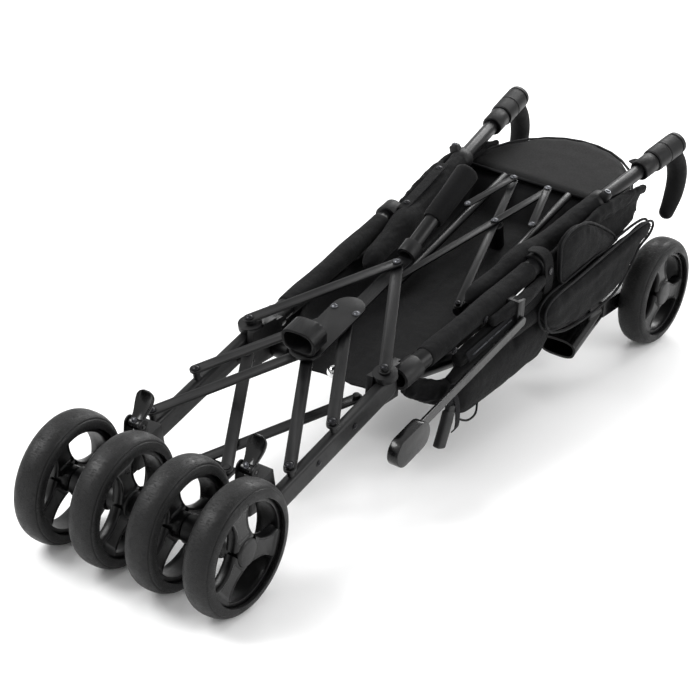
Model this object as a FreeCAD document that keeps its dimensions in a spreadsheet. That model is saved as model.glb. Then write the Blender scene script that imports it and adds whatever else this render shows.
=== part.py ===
"""Folded pet stroller with an umbrella frame: two side frames joined by scissor bars, six wheels and a cabin.

Axes: +X to the stroller's right, +Y from the rear wheels towards the handles, +Z up, in millimetres.
Places are given from the midplane, the rear axle line and the ground, and move to the row frame at the end.
"""
import FreeCAD, Part
import math
import os
import Sketcher
from FreeCAD import Placement, Rotation, Vector

DIMENSIONS = {
    # rear and front wheels
    "rear_wheel_radius": 75, "front_wheel_radius": 70, "tyre_half_width": 18.5, "tyre_depth": 15,
    "rim_wall": 5, "rim_width": 27, "wheel_hub_radius": 15, "wheel_hub_width": 28, "axle_radius": 5,
    "spoke_width": 20, "spoke_thickness": 11, "spoke_count": 3, "pair_inset": 17.9, "twin_spacing": 74,
    "housing_arm_length": 104,
    # scissor: every wide bar has the same length and the same angle, so the fold has constant ratios
    "bar_length": 189, "bar_angle": 29.1, "bar_width": 14, "bar_thickness": 3, "bar_gap": 0.5,
    "scissor_pitch": 15.3, "pivot_pin_radius": 4, "plane_height": 155, "joint_place": 293,
    "upper_bar_place": 195, "lower_bar_place": 118, "strut_place": 262, "strut_inset": 18,
    "strut_depth": 17.5, "strut_block_width": 46,
    # rear legs, rails and handle tubes
    "leg_height": 28, "leg_thickness": 14, "leg_depth": 20, "leg_bottom_place": 92, "leg_round": 5,
    "rail_radius": 11, "tube_wall": 1.5, "rail_start": 318, "rail_length": 290, "rail_outset": 2,
    "clamp_wall": 4, "socket_wall": 3, "socket_length": 31.8,
    "block_step": 2, "web_inset": 6, "pivot_bite": 4, "rail_pitch": 10.1, "rail_toe": 2.2,
    "rail_start_height": 138, "handle_tube_radius": 9, "handle_tube_length": 393,
    "handle_inset": 32.9, "handle_overlap": 98.3, "handle_drop": 23.9,
    "handle_pitch": 11.8, "handle_toe": 6.2,
    "collar_radius": 13, "collar_length": 27, "collar_place": 336,
    "barrel_radius": 15, "barrel_length": 58, "grip_radius": 12, "grip_drop": 95, "grip_bulge": 22,
    # front legs
    "front_pivot_inset": 25.9, "front_pivot_place": 325, "front_pivot_height": 118,
    "front_leg_radius": 9, "front_leg_length": 452, "front_leg_pitch": 6.6, "front_leg_toe": 4.8,
    "front_wheel_outset": 45.1, "front_wheel_place": 858, "pivot_radius": 5, "eye_radius": 11,
    "eye_margin": 2.5, "fork_width": 11, "fork_depth": 21, "fork_wall": 4,
    "scoop_width": 50, "scoop_height": 24, "scoop_wall": 3, "scoop_place": 690, "scoop_centre_height": 38,
    "scoop_length": 80, "scoop_inset": 8,
    # centre spine, lever cup and centre tube
    "spine_width": 18, "hub_plate_length": 50, "hub_plate_width": 40, "hub_plate_thickness": 3,
    "cup_half_width": 22, "cup_half_height": 16, "cup_wall": 3.5, "cup_depth": 25, "cup_setback": 16,
    "cup_ear_width": 8, "cup_ear_height": 6, "cup_ear_radius": 5, "centre_tube_radius": 9,
    "centre_tube_length": 140, "centre_tube_pitch": 28,
    # seat cross: two crossed bars, two short links and two seat tubes
    "cross_half_length": 165, "cross_top_length": 88.6, "cross_angle": 16.2, "cross_place": 673,
    "cross_height": 181, "cross_width": 10, "cross_thickness": 2.5, "cross_pin_radius": 3,
    "seat_tube_radius": 5, "seat_tube_length": 262,
    # brake pedals
    "pedal_place": 66, "pedal_height": 125, "pedal_width": 17, "pedal_length": 38,
    "pedal_thickness": 10, "pedal_lean": 33, "pedal_pin_radius": 3, "pedal_boss_wall": 1,
    # canopy arm
    "arm_place": 520, "arm_height": 148, "arm_outset": 41.1, "arm_length": 232, "arm_width": 12,
    "arm_thickness": 4, "arm_pin_length": 19.8, "arm_pitch": 13.5, "paddle_length": 66, "paddle_width": 34,
    "paddle_thickness": 14,
    # soft parts
    "floor_inset": 37.9, "floor_start": 340, "floor_length": 455, "floor_thickness": 6,
    "floor_start_height": 86, "floor_pitch": 9.5, "floor_riser": 42, "board_outset": 20.1,
    "board_start": 782,
    "board_length": 124, "board_thickness": 8, "board_height": 191, "board_pitch": 10.1,
    "roll_start": 405, "roll_length": 172, "roll_outset": 22.6, "roll_half_thickness": 16,
    "roll_half_depth": 28, "roll_height": 73, "roll_pitch": 9, "flap_outset": 29.1, "flap_thickness": 16,
    "flap_length": 188, "flap_radius": 32, "flap_pitch": 9.5, "flap_start": 615, "flap_height": 128,
    # clearances
    "running_gap": 0.08, "open_pivot_gap": 0.5, "side_gap": 0.5,
}
SIDES = {"left": -1, "right": 1}

doc = FreeCAD.newDocument("PetStroller")
sheet = doc.addObject("Spreadsheet::Sheet", "Dims")
for row, (alias, number) in enumerate(DIMENSIONS.items(), start=1):
    sheet.set(f"A{row}", alias)
    sheet.set(f"B{row}", str(number))
    sheet.setAlias(f"B{row}", alias)
doc.recompute()
pieces = []


class Size:
    """Reads a driving dimension from the sheet by its name."""

    def __getattr__(self, alias):
        return float(sheet.get(alias))


size = Size()


def cell(expression):
    """An expression whose driving dimensions are named in the sheet."""
    words = []
    for word in expression.replace("(", "( ").replace(")", " )").split():
        words.append("Dims." + word if word in DIMENSIONS else word)
    return " ".join(words)


def bind(item, **sizes):
    for name, expression in sizes.items():
        item.setExpression(name, cell(expression))
    return item


def piece(item, label, placement=None):
    """Registers a finished sub-part under the label that names its file."""
    item.Label = label
    if placement is not None:
        item.Placement = placement
    pieces.append(item)
    return item


def radians(degrees):
    return math.radians(degrees)


def heading(pitch, toe):
    """Unit direction that climbs by pitch and turns outwards by toe, in degrees."""
    level = math.cos(radians(pitch))
    return Vector(level * math.sin(radians(toe)), level * math.cos(radians(toe)), math.sin(radians(pitch)))


def mirrored(vector, side):
    return Vector(side * vector.x, vector.y, vector.z)


def frame_at(base, along, across):
    """Placement whose local Z runs along one direction and whose local X is nearest to another."""
    z_axis = Vector(along).normalize()
    y_axis = z_axis.cross(across).normalize()
    x_axis = y_axis.cross(z_axis)
    return Placement(base, Rotation(x_axis, y_axis, z_axis, "ZXY"))


# ---- scissor plane: u climbs towards the handles, n is the plane's normal ------------------------
pitch_rotation = Rotation(Vector(1, 0, 0), size.scissor_pitch)
along_u = pitch_rotation.multVec(Vector(0, 1, 0))
normal = pitch_rotation.multVec(Vector(0, 0, 1))
plane_origin = Vector(0, size.joint_place, size.plane_height)
bar_reach = size.bar_length * math.cos(radians(size.bar_angle))
half_track = size.bar_length * math.sin(radians(size.bar_angle))

# places across the stroller, all measured from the side frames so that they follow the track
pair_centre = half_track - size.pair_inset
front_pivot_half_width = half_track - size.front_pivot_inset
front_wheel_half_width = half_track + size.front_wheel_outset
eye_width = 2 * size.front_leg_radius + size.eye_margin
arm_half_width = half_track + size.arm_outset
floor_half_width = half_track - size.floor_inset


def in_plane(across, along, lift=0.0):
    """A point of the scissor plane, lifted off it along its normal."""
    return plane_origin + Vector(across, 0, 0) + along_u * along + normal * lift


def along_at(place):
    """Distance along the scissor plane of a point at this distance from the rear axle."""
    return (place - size.joint_place) / math.cos(radians(size.scissor_pitch))


joint_along = 0.0
upper_along = along_at(size.upper_bar_place)
lower_along = along_at(size.lower_bar_place)
strut_along = along_at(size.strut_place)
layer = size.bar_thickness + size.bar_gap
layer_start = size.bar_thickness / 2 + size.bar_gap
stack_top = layer_start + 2 * layer


# ---- general makers ------------------------------------------------------------------------------
def new_body(name):
    return doc.addObject("PartDesign::Body", name)


def sketch_on(body, role, name="Sketch"):
    plane = next(item for item in body.Origin.OriginFeatures if item.Role == role)
    sketch = body.newObject("Sketcher::SketchObject", body.Name + name)
    sketch.AttachmentSupport = [(plane, "")]
    sketch.MapMode = "FlatFace"
    return sketch


def add_circle(sketch, radius, centre=(0, 0)):
    """A circle fixed by its centre; radius and centre are expressions or numbers."""
    index = sketch.addGeometry(Part.Circle(Vector(1, 1, 0), Vector(0, 0, 1), 2), False)
    constraint = sketch.addConstraint(Sketcher.Constraint("Radius", index, 2.0))
    sketch.setExpression(f"Constraints[{constraint}]", cell(radius))
    for kind, place in zip(("DistanceX", "DistanceY"), centre):
        constraint = sketch.addConstraint(Sketcher.Constraint(kind, -1, 1, index, 3, 1.0))
        sketch.setExpression(f"Constraints[{constraint}]", cell(str(place)))
    return index


def add_slot(sketch, length, radius):
    """A rounded bar outline from the origin towards +Y: centre distance and end radius as expressions."""
    low = sketch.addGeometry(Part.ArcOfCircle(Part.Circle(Vector(0, 0, 0), Vector(0, 0, 1), 5),
                                              math.pi, 2 * math.pi), False)
    high = sketch.addGeometry(Part.ArcOfCircle(Part.Circle(Vector(0, 50, 0), Vector(0, 0, 1), 5),
                                               0, math.pi), False)
    left = sketch.addGeometry(Part.LineSegment(Vector(-5, 0, 0), Vector(-5, 50, 0)), False)
    right = sketch.addGeometry(Part.LineSegment(Vector(5, 0, 0), Vector(5, 50, 0)), False)
    for first, first_end, second, second_end in ((low, 1, left, 1), (low, 2, right, 1),
                                                 (high, 2, left, 2), (high, 1, right, 2)):
        sketch.addConstraint(Sketcher.Constraint("Tangent", first, first_end, second, second_end))
    sketch.addConstraint(Sketcher.Constraint("Coincident", low, 3, -1, 1))
    sketch.addConstraint(Sketcher.Constraint("PointOnObject", high, 3, -2))
    sketch.addConstraint(Sketcher.Constraint("Vertical", left))
    for constraint, expression in (
        (Sketcher.Constraint("Radius", low, 5.0), radius),
        (Sketcher.Constraint("DistanceY", -1, 1, high, 3, 50.0), length),
    ):
        index = sketch.addConstraint(constraint)
        sketch.setExpression(f"Constraints[{index}]", cell(expression))


def pad(body, sketch, length, symmetric=False):
    feature = body.newObject("PartDesign::Pad", body.Name + "Pad")
    feature.Profile = sketch
    feature.SideType = "Symmetric" if symmetric else "One side"
    return bind(feature, Length=length)


def bar(label, length, width, thickness, hole_radii, placement):
    """A flat bar with rounded ends along local +Y, with a pivot hole at each centre (or none)."""
    body = new_body(label)
    sketch = sketch_on(body, "XY_Plane")
    add_slot(sketch, length, f"{width} / 2")
    for hole_radius, place in zip(hole_radii, ("0", length)):
        if hole_radius:
            add_circle(sketch, hole_radius, ("0", place))
    pad(body, sketch, thickness)
    return piece(body, label, placement)


def tube(label, radius, wall, length, start, direction):
    """A round tube that starts at a point and runs along a direction."""
    body = new_body(label)
    sketch = sketch_on(body, "XY_Plane")
    add_circle(sketch, radius)
    add_circle(sketch, f"{radius} - {wall}")
    pad(body, sketch, length)
    return piece(body, label, frame_at(start, direction, Vector(1, 0, 0)))


def cylinder(name, radius, height, placement):
    return bind(place(doc.addObject("Part::Cylinder", name), placement), Radius=radius, Height=height)


def box(name, length, width, height, placement):
    return bind(place(doc.addObject("Part::Box", name), placement), Length=length, Width=width, Height=height)


def place(item, placement):
    item.Placement = placement
    return item


def fused(name, parts):
    item = doc.addObject("Part::MultiFuse", name)
    item.Shapes = parts
    item.Refine = True
    return item


def cut(name, base, tool):
    item = doc.addObject("Part::Cut", name)
    item.Base = base
    item.Tool = tool
    return item


def outward(base, side):
    """Placement whose local Z points away from the midplane."""
    return frame_at(base, Vector(side, 0, 0), Vector(0, 1, 0))


# ---- wheels --------------------------------------------------------------------------------------
def wheel(label, centre, radius_name):
    """A rubber tyre on a spoked rim, with the wheel's axis along X."""
    turn = Rotation(Vector(0, 0, 1), Vector(1, 0, 0))
    seat = f"{radius_name} - tyre_depth"
    ring = doc.addObject("Part::Torus", label + "_ring")
    bind(place(ring, Placement(centre, turn)), Radius1=f"{radius_name} - tyre_half_width",
         Radius2="tyre_half_width")
    half = Vector(size.tyre_half_width, 0, 0)
    core = cylinder(label + "_core", seat, "2 * tyre_half_width", Placement(centre - half, turn))
    piece(cut(label + "_tyre", ring, core), label + "_tyre")

    rim = new_body(label + "_rim")
    hub = sketch_on(rim, "XY_Plane", "Hub")
    add_circle(hub, "wheel_hub_radius")
    add_circle(hub, "axle_radius + running_gap")
    pad(rim, hub, "wheel_hub_width", symmetric=True)
    spoke = sketch_on(rim, "XY_Plane", "Spoke")
    spoke_outline(spoke, radius_name)
    spoke_pad = pad(rim, spoke, "spoke_thickness", symmetric=True)
    pattern = rim.newObject("PartDesign::PolarPattern", rim.Name + "Pattern")
    pattern.Originals = [spoke_pad]
    pattern.Axis = (spoke, ["N_Axis"])
    pattern.Angle = 360
    bind(pattern, Occurrences="spoke_count")
    rim.Tip = pattern
    band = sketch_on(rim, "XY_Plane", "Band")
    add_circle(band, seat)
    add_circle(band, f"{seat} - rim_wall")
    rim.Tip = pad(rim, band, "rim_width", symmetric=True)
    piece(rim, label + "_rim", Placement(centre, turn))


def spoke_outline(sketch, radius_name):
    """One spoke as a rectangle from the hub's wall to the middle of the rim's band."""
    corners = [Vector(-5, 10, 0), Vector(5, 10, 0), Vector(5, 50, 0), Vector(-5, 50, 0)]
    for index in range(4):
        sketch.addGeometry(Part.LineSegment(corners[index], corners[(index + 1) % 4]), False)
    for index in range(4):
        sketch.addConstraint(Sketcher.Constraint("Coincident", index, 2, (index + 1) % 4, 1))
    for line, kind in enumerate(("Vertical", "Horizontal", "Vertical"), start=1):
        sketch.addConstraint(Sketcher.Constraint(kind, line))
    sketch.addConstraint(Sketcher.Constraint("Symmetric", 0, 1, 0, 2, -2))
    for constraint, expression in (
        (Sketcher.Constraint("DistanceX", 0, 1, 0, 2, 10.0), "spoke_width"),
        (Sketcher.Constraint("DistanceY", -1, 1, 0, 1, 10.0), "axle_radius + rim_wall"),
        (Sketcher.Constraint("DistanceY", -1, 1, 2, 1, 50.0),
         f"{radius_name} - tyre_depth - rim_wall / 2"),
    ):
        index = sketch.addConstraint(constraint)
        sketch.setExpression(f"Constraints[{index}]", cell(expression))


# ---- rear legs -----------------------------------------------------------------------------------
def rear_housing(name, side):
    """Housing between the twin wheels with its fixed axle, an arm to the leg and ears for the pedal."""
    axle_centre = Vector(side * pair_centre, 0, size.rear_wheel_radius)
    inner_room = size.twin_spacing - size.wheel_hub_width - 2 * size.side_gap
    barrel = cylinder(name + "_barrel", "1.1 * wheel_hub_radius",
                      "twin_spacing - wheel_hub_width - 2 * side_gap",
                      outward(axle_centre - Vector(side * inner_room / 2, 0, 0), side))
    span = size.twin_spacing + size.wheel_hub_width + 2 * size.rim_wall
    axle = cylinder(name + "_axle", "axle_radius", "twin_spacing + wheel_hub_width + 2 * rim_wall",
                    outward(axle_centre - Vector(side * span / 2, 0, 0), side))
    arm_width = 2 * (half_track - size.leg_thickness / 2 - pair_centre)
    arm_base = Vector(pair_centre - arm_width / 2, 0, size.rear_wheel_radius)
    lean = Rotation(Vector(1, 0, 0), size.scissor_pitch)
    if side < 0:
        arm_base.x = -arm_base.x - arm_width
    arm = box(name + "_arm", f"{arm_width}", "housing_arm_length", "wheel_hub_width",
              Placement(arm_base - lean.multVec(Vector(0, 0, size.wheel_hub_width / 2)), lean))
    parts = [barrel, axle, arm]
    for sign in (-1, 1):
        cap_face = sign * (size.twin_spacing + size.wheel_hub_width + 2 * size.side_gap) / 2
        parts.append(cylinder(f"{name}_cap{sign + 1}", "2 * axle_radius", "rim_wall - 2 * side_gap",
                              outward(axle_centre + Vector(side * cap_face, 0, 0), side * sign)))
    ear_half = size.pedal_width / 2 + size.side_gap
    ear_width = arm_width / 2 - ear_half
    ear_height = size.pedal_height - size.rear_wheel_radius
    for sign in (-1, 1):
        low = side * pair_centre + sign * (ear_half + ear_width / 2) - ear_width / 2
        ear = box(f"{name}_ear{sign + 1}", f"{ear_width}", "3 * rim_wall", f"{ear_height}",
                  Placement(Vector(low, size.pedal_place - 1.5 * size.rim_wall, size.rear_wheel_radius),
                            Rotation()))
        knob = cylinder(f"{name}_knob{sign + 1}", "1.5 * rim_wall", f"{ear_width}",
                        frame_at(Vector(low, size.pedal_place, size.pedal_height), Vector(1, 0, 0),
                                 Vector(0, 1, 0)))
        parts += [ear, knob]
    bore = cylinder(name + "_bore", "pedal_pin_radius + running_gap", f"{arm_width + 2}",
                    frame_at(Vector(side * pair_centre - arm_width / 2 - 1, size.pedal_place,
                                    size.pedal_height), Vector(1, 0, 0), Vector(0, 1, 0)))
    piece(cut(name, fused(name + "_solid", parts), bore), name)


def brake_pedal(name, side):
    """A scooped foot pedal with its own pivot pin."""
    pivot = Vector(side * pair_centre, size.pedal_place, size.pedal_height)
    turn = Rotation(Vector(1, 0, 0), -size.pedal_lean)
    half = size.pedal_width / 2
    boss = cylinder(name + "_boss", "pedal_thickness / 2 + pedal_boss_wall", "pedal_width",
                    frame_at(pivot - Vector(half, 0, 0), Vector(1, 0, 0), Vector(0, 1, 0)))
    arm_width = half_track - size.leg_thickness / 2 - pair_centre
    pin = cylinder(name + "_pin", "pedal_pin_radius", f"{2 * arm_width}",
                   frame_at(pivot - Vector(arm_width, 0, 0), Vector(1, 0, 0), Vector(0, 1, 0)))
    corner = turn.multVec(Vector(-half, -size.pedal_thickness / 2, 0))
    plate = box(name + "_plate", "pedal_width", "pedal_thickness", "pedal_length",
                Placement(pivot + corner, turn))
    hollow_centre = turn.multVec(Vector(-half, -size.pedal_length, 0.6 * size.pedal_length))
    hollow = cylinder(name + "_hollow", "pedal_length", "pedal_width",
                      frame_at(pivot + hollow_centre, Vector(1, 0, 0), Vector(0, 1, 0)))
    scooped = cut(name + "_scooped", plate, hollow)
    piece(fused(name, [boss, pin, scooped]), name)


def rear_leg(name, side):
    """A flat-oval leg under the scissor plane, with the pins of its two bars and the lug of its strut."""
    length = (size.joint_place - size.leg_bottom_place) / math.cos(radians(size.scissor_pitch))
    start = in_plane(side * half_track, -length, -size.leg_depth)
    body = new_body(name + "_tube")
    sketch = sketch_on(body, "XY_Plane")
    add_slot(sketch, f"{length}", "leg_height / 2")
    flat = pad(body, sketch, "leg_thickness", symmetric=True)
    doc.recompute()
    rounded = body.newObject("PartDesign::Fillet", body.Name + "Round")
    rounded.Base = (flat, ["Face5", "Face6"])
    bind(rounded, Radius="leg_round")
    body.Tip = rounded
    body.Placement = Placement(start, Rotation(Vector(0, 0, 0), along_u, Vector(1, 0, 0), "ZYX"))
    parts = [body]
    pin_start = -size.leg_depth
    for count, along in enumerate((upper_along, lower_along)):
        parts.append(cylinder(f"{name}_pin{count}", "pivot_pin_radius", f"{stack_top - pin_start}",
                              frame_at(in_plane(side * half_track, along, pin_start), normal,
                                       Vector(1, 0, 0))))
    lug_low = -size.strut_depth - 2 * layer
    lug_centre = half_track - size.strut_inset
    lug_base = in_plane(side * lug_centre, strut_along, lug_low)
    lug = cylinder(name + "_lug", "bar_width / 2", "bar_thickness",
                   frame_at(lug_base, normal, Vector(1, 0, 0)))
    bridge_side = min(side * lug_centre, side * half_track)
    bridge = box(name + "_bridge", "strut_inset", "bar_width", "bar_thickness",
                 Placement(in_plane(bridge_side, strut_along, lug_low)
                           - along_u * (size.bar_width / 2), pitch_rotation))
    post = cylinder(name + "_post", "pivot_pin_radius", f"{3 * layer}",
                    frame_at(lug_base, normal, Vector(1, 0, 0)))
    piece(fused(name, parts + [lug, bridge, post]), name)


# ---- side joints, rails and handles ----------------------------------------------------------------
rail_direction = heading(size.rail_pitch, size.rail_toe)
handle_direction = heading(size.handle_pitch, size.handle_toe)
front_leg_direction = heading(-size.front_leg_pitch, size.front_leg_toe)


def side_start(half_width, place_y, height, side):
    return Vector(side * half_width, place_y, height)


rail_half_width = half_track + size.rail_outset


def side_joint(name, side):
    """The moulded joint that holds the leg's top, the rail's socket, the bar's pin and the front pivot."""
    plate_bottom = -size.leg_depth + size.leg_height / 2
    plate_low = in_plane(side * half_track, joint_along, plate_bottom)
    cap = cylinder(name + "_cap", "bar_width", f"{layer_start - size.bar_gap - plate_bottom}",
                   frame_at(plate_low, normal, Vector(1, 0, 0)))
    pin = cylinder(name + "_pin", "pivot_pin_radius", f"{stack_top - plate_bottom}",
                   frame_at(plate_low, normal, Vector(1, 0, 0)))
    block_outer = half_track - size.leg_thickness / 2
    block_inner = front_pivot_half_width + eye_width / 2 + size.side_gap
    block_width = block_outer - block_inner
    block_length = size.front_pivot_place + size.eye_radius - size.joint_place + size.bar_width
    block_low = min(side * block_inner, side * block_outer)
    block_drop = size.plane_height - size.front_pivot_height + size.eye_radius
    block = box(name + "_block", f"{block_width}", f"{block_length}", f"{block_drop - size.block_step}",
                Placement(Vector(block_low, size.joint_place - size.bar_width,
                                 size.front_pivot_height - size.eye_radius), Rotation()))
    pivot = cylinder(name + "_pivot", "pivot_radius", f"{eye_width + 2 * size.side_gap + size.pivot_bite}",
                     outward(Vector(side * block_inner, size.front_pivot_place,
                                    size.front_pivot_height), -side))
    rail_point = side_start(rail_half_width, size.rail_start, size.rail_start_height, side)
    direction = mirrored(rail_direction, side)
    socket = cylinder(name + "_socket", "rail_radius + socket_wall", "socket_length",
                      frame_at(rail_point, direction, Vector(1, 0, 0)))
    web = box(name + "_web", f"{half_track - block_inner}", f"{size.rail_start - size.joint_place}",
              "bar_width / 2",
              Placement(Vector(min(side * block_inner, side * half_track), size.joint_place + size.web_inset,
                               size.plane_height - size.web_inset), Rotation()))
    solid = fused(name + "_solid", [cap, pin, block, pivot, socket, web])
    rail_room = cylinder(name + "_room", "rail_radius", "rail_length",
                         frame_at(rail_point, direction, Vector(1, 0, 0)))
    leg_room = box(name + "_leg_room", "leg_thickness", "2.5 * leg_height", "leg_height",
                   Placement(in_plane(side * half_track - size.leg_thickness / 2, -2 * size.leg_height,
                                      -size.leg_depth - size.leg_height / 2), pitch_rotation))
    piece(cut(name, solid, fused(name + "_rooms", [rail_room, leg_room])), name)


def side_frame(side_name, side):
    """Rail, handle tube, clamp between them, collar and swivelling grip."""
    direction = mirrored(rail_direction, side)
    rail_point = side_start(rail_half_width, size.rail_start, size.rail_start_height, side)
    rail(f"rail_{side_name}", rail_point, direction, with_bracket=side > 0)
    handle_line = mirrored(handle_direction, side)
    rail_tip = rail_point + direction * size.rail_length
    handle_point = rail_tip - Vector(side * size.handle_inset, size.handle_overlap, size.handle_drop)
    tube(f"handle_tube_{side_name}", "handle_tube_radius", "tube_wall", "handle_tube_length",
         handle_point, handle_line)

    name = f"rail_clamp_{side_name}"
    across = Vector(1, 0, 0)
    clamp_depth = 1.5 * size.rail_radius
    rail_end = rail_point + direction * (size.rail_length - clamp_depth)
    cap = cylinder(name + "_cap", "rail_radius + clamp_wall", "1.5 * rail_radius + clamp_wall",
                   frame_at(rail_end, direction, across))
    reach = (rail_end.y - handle_point.y) / handle_line.y
    ring = cylinder(name + "_ring", "handle_tube_radius + clamp_wall", "1.5 * rail_radius + clamp_wall",
                    frame_at(handle_point + handle_line * reach, handle_line, across))
    rail_room = cylinder(name + "_rail_room", "rail_radius", "rail_length",
                         frame_at(rail_point, direction, across))
    handle_room = cylinder(name + "_handle_room", "handle_tube_radius", "handle_tube_length",
                           frame_at(handle_point, handle_line, across))
    rooms = fused(name + "_rooms", [rail_room, handle_room])
    piece(cut(name, fused(name + "_solid", [cap, ring]), rooms), name)

    collar = new_body(f"collar_{side_name}")
    sketch = sketch_on(collar, "XY_Plane")
    add_circle(sketch, "collar_radius")
    add_circle(sketch, "handle_tube_radius")
    pad(collar, sketch, "collar_length")
    collar_base = handle_point + handle_line * size.collar_place
    piece(collar, f"collar_{side_name}", frame_at(collar_base, handle_line, across))
    grip(f"grip_{side_name}", collar_base + handle_line * (size.collar_length + size.side_gap), handle_line)


def rail(name, start, direction, with_bracket):
    """The lower side tube; the right one carries the moulded bracket of the canopy arm."""
    if not with_bracket:
        tube(name, "rail_radius", "tube_wall", "rail_length", start, direction)
        return
    placement = frame_at(start, direction, Vector(1, 0, 0))
    outside = cylinder(name + "_outside", "rail_radius", "rail_length", placement)
    inside = cylinder(name + "_inside", "rail_radius - tube_wall", "rail_length", placement)
    centre = start + direction * ((size.arm_place - start.y) / direction.y)
    face = arm_half_width - size.arm_thickness / 2 - size.side_gap
    foot = size.arm_height - size.arm_width / 2 - size.side_gap
    bracket = box(name + "_bracket", f"{face - centre.x}", "arm_width + 2 * tube_wall",
                  f"{centre.z - foot}",
                  Placement(Vector(centre.x, size.arm_place - size.arm_width / 2 - size.tube_wall, foot),
                            Rotation()))
    bore = cylinder(name + "_bore", "pivot_pin_radius + running_gap", f"{face - centre.x}",
                    frame_at(Vector(centre.x, size.arm_place, size.arm_height), Vector(1, 0, 0),
                             Vector(0, 1, 0)))
    rooms = fused(name + "_rooms", [inside, bore])
    piece(cut(name, fused(name + "_solid", [outside, bracket]), rooms), name)


def grip(name, base, direction):
    """A barrel that turns on the tube's end, with a curved grip that hangs from it."""
    body = new_body(name)
    barrel = sketch_on(body, "XY_Plane", "Barrel")
    add_circle(barrel, "barrel_radius")
    pad(body, barrel, "barrel_length")
    profile = sketch_on(body, "XZ_Plane", "Profile")
    add_circle(profile, "grip_radius", ("0", "0.62 * barrel_length"))
    spine = sketch_on(body, "YZ_Plane", "Spine")
    level = 0.62 * size.barrel_length
    spine.addGeometry(Part.Arc(Vector(0, level, 0), Vector(size.grip_drop / 2, level + size.grip_bulge, 0),
                               Vector(size.grip_drop, level, 0)), False)
    curve = body.newObject("PartDesign::AdditivePipe", name + "Curve")
    curve.Profile = profile
    curve.Spine = spine
    hole = sketch_on(body, "XY_Plane", "Bore")
    add_circle(hole, "handle_tube_radius + running_gap")
    bore = body.newObject("PartDesign::Pocket", name + "Bore")
    bore.Profile = hole
    bore.Reversed = True
    bind(bore, Length="handle_tube_length - collar_place - collar_length + side_gap")
    body.Tip = bore
    piece(body, name, frame_at(base, direction, Vector(1, 0, 0)))


# ---- front legs ------------------------------------------------------------------------------------
def front_leg(side_name, side):
    """A tube with an eye on the side joint's pivot, and the moulded fork with its stub axle."""
    pivot = side_start(front_pivot_half_width, size.front_pivot_place, size.front_pivot_height, side)
    direction = mirrored(front_leg_direction, side)
    across = Vector(1, 0, 0)
    name = f"front_leg_{side_name}"
    eye_base = pivot - Vector(side * eye_width / 2, 0, 0)
    eye = cylinder(name + "_eye", "eye_radius", f"{eye_width}", outward(eye_base, side))
    shaft = cylinder(name + "_shaft", "front_leg_radius", "front_leg_length",
                     frame_at(pivot, direction, across))
    bore = cylinder(name + "_bore", "pivot_radius + running_gap", f"{eye_width}", outward(eye_base, side))
    piece(cut(name, fused(name + "_solid", [eye, shaft]), bore), name)

    name = f"front_fork_{side_name}"
    leg_end = pivot + direction * size.front_leg_length
    sleeve_length = 4 * size.front_leg_radius
    sleeve = cylinder(name + "_sleeve", "front_leg_radius + fork_wall", "5 * front_leg_radius",
                      frame_at(leg_end - direction * sleeve_length, direction, across))
    wheel_centre = side_start(front_wheel_half_width, size.front_wheel_place,
                              size.front_wheel_radius, side)
    hub_face = front_wheel_half_width - size.wheel_hub_width / 2 - size.side_gap
    foot_outer = front_wheel_half_width - size.tyre_half_width - 2 * size.side_gap
    foot_inner = foot_outer - size.fork_width
    axle_point = Vector(side * foot_inner, wheel_centre.y, wheel_centre.z)
    boss = cylinder(name + "_boss", "wheel_hub_radius", f"{hub_face - foot_inner}",
                    outward(axle_point, side))
    foot = box(name + "_foot", "fork_width", f"{wheel_centre.y - leg_end.y + size.fork_width}",
               "fork_depth",
               Placement(Vector(min(side * foot_outer, side * foot_inner), leg_end.y - size.fork_width,
                                wheel_centre.z - size.fork_depth / 2), Rotation()))
    stub = cylinder(name + "_stub", "axle_radius", f"{hub_face - foot_inner} + wheel_hub_width + rim_wall",
                    outward(axle_point, side))
    cap_face = front_wheel_half_width + size.wheel_hub_width / 2 + size.side_gap
    cap = cylinder(name + "_cap", "2 * axle_radius", "rim_wall - 2 * side_gap",
                   outward(Vector(side * cap_face, wheel_centre.y, wheel_centre.z), side))
    scoop = scoop_shell(name, side, leg_end)
    leg_room = cylinder(name + "_room", "front_leg_radius", "front_leg_length",
                        frame_at(pivot, direction, across))
    piece(cut(name, fused(name + "_solid", [sleeve, boss, foot, stub, cap, scoop]), leg_room), name)
    return wheel_centre


def scoop_shell(name, side, leg_end):
    """The fork's flared cover: a hollow loft from a wide open mouth to the leg's end."""
    shells = []
    for wall in (0, size.scoop_wall):
        mouth_x = size.scoop_width / 2 - wall
        mouth_z = size.scoop_height / 2 - wall
        neck = size.front_leg_radius + size.scoop_wall - wall
        mouth_centre = Vector(side * (abs(leg_end.x) - size.scoop_inset), size.scoop_place,
                              size.scoop_centre_height)
        mouth = rounded_loop(mouth_centre, mouth_x, mouth_z)
        end = Vector(leg_end.x, size.scoop_place + size.scoop_length, leg_end.z)
        throat = rounded_loop(end, neck, neck)
        shells.append(Part.makeLoft([mouth, throat], True))
    shell = doc.addObject("Part::Feature", name + "_scoop")
    shell.Shape = shells[0].cut(shells[1])
    return shell


def rounded_loop(centre, half_x, half_z):
    """A closed rounded outline in a plane across Y."""
    spline = Part.BSplineCurve()
    points = []
    for step in range(12):
        angle = 2 * math.pi * step / 12
        squareness = 0.7
        cosine = math.copysign(abs(math.cos(angle)) ** squareness, math.cos(angle))
        sine = math.copysign(abs(math.sin(angle)) ** squareness, math.sin(angle))
        points.append(centre + Vector(half_x * cosine, 0, half_z * sine))
    spline.interpolate(points, PeriodicFlag=True)
    return Part.Wire(spline.toShape())


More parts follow.
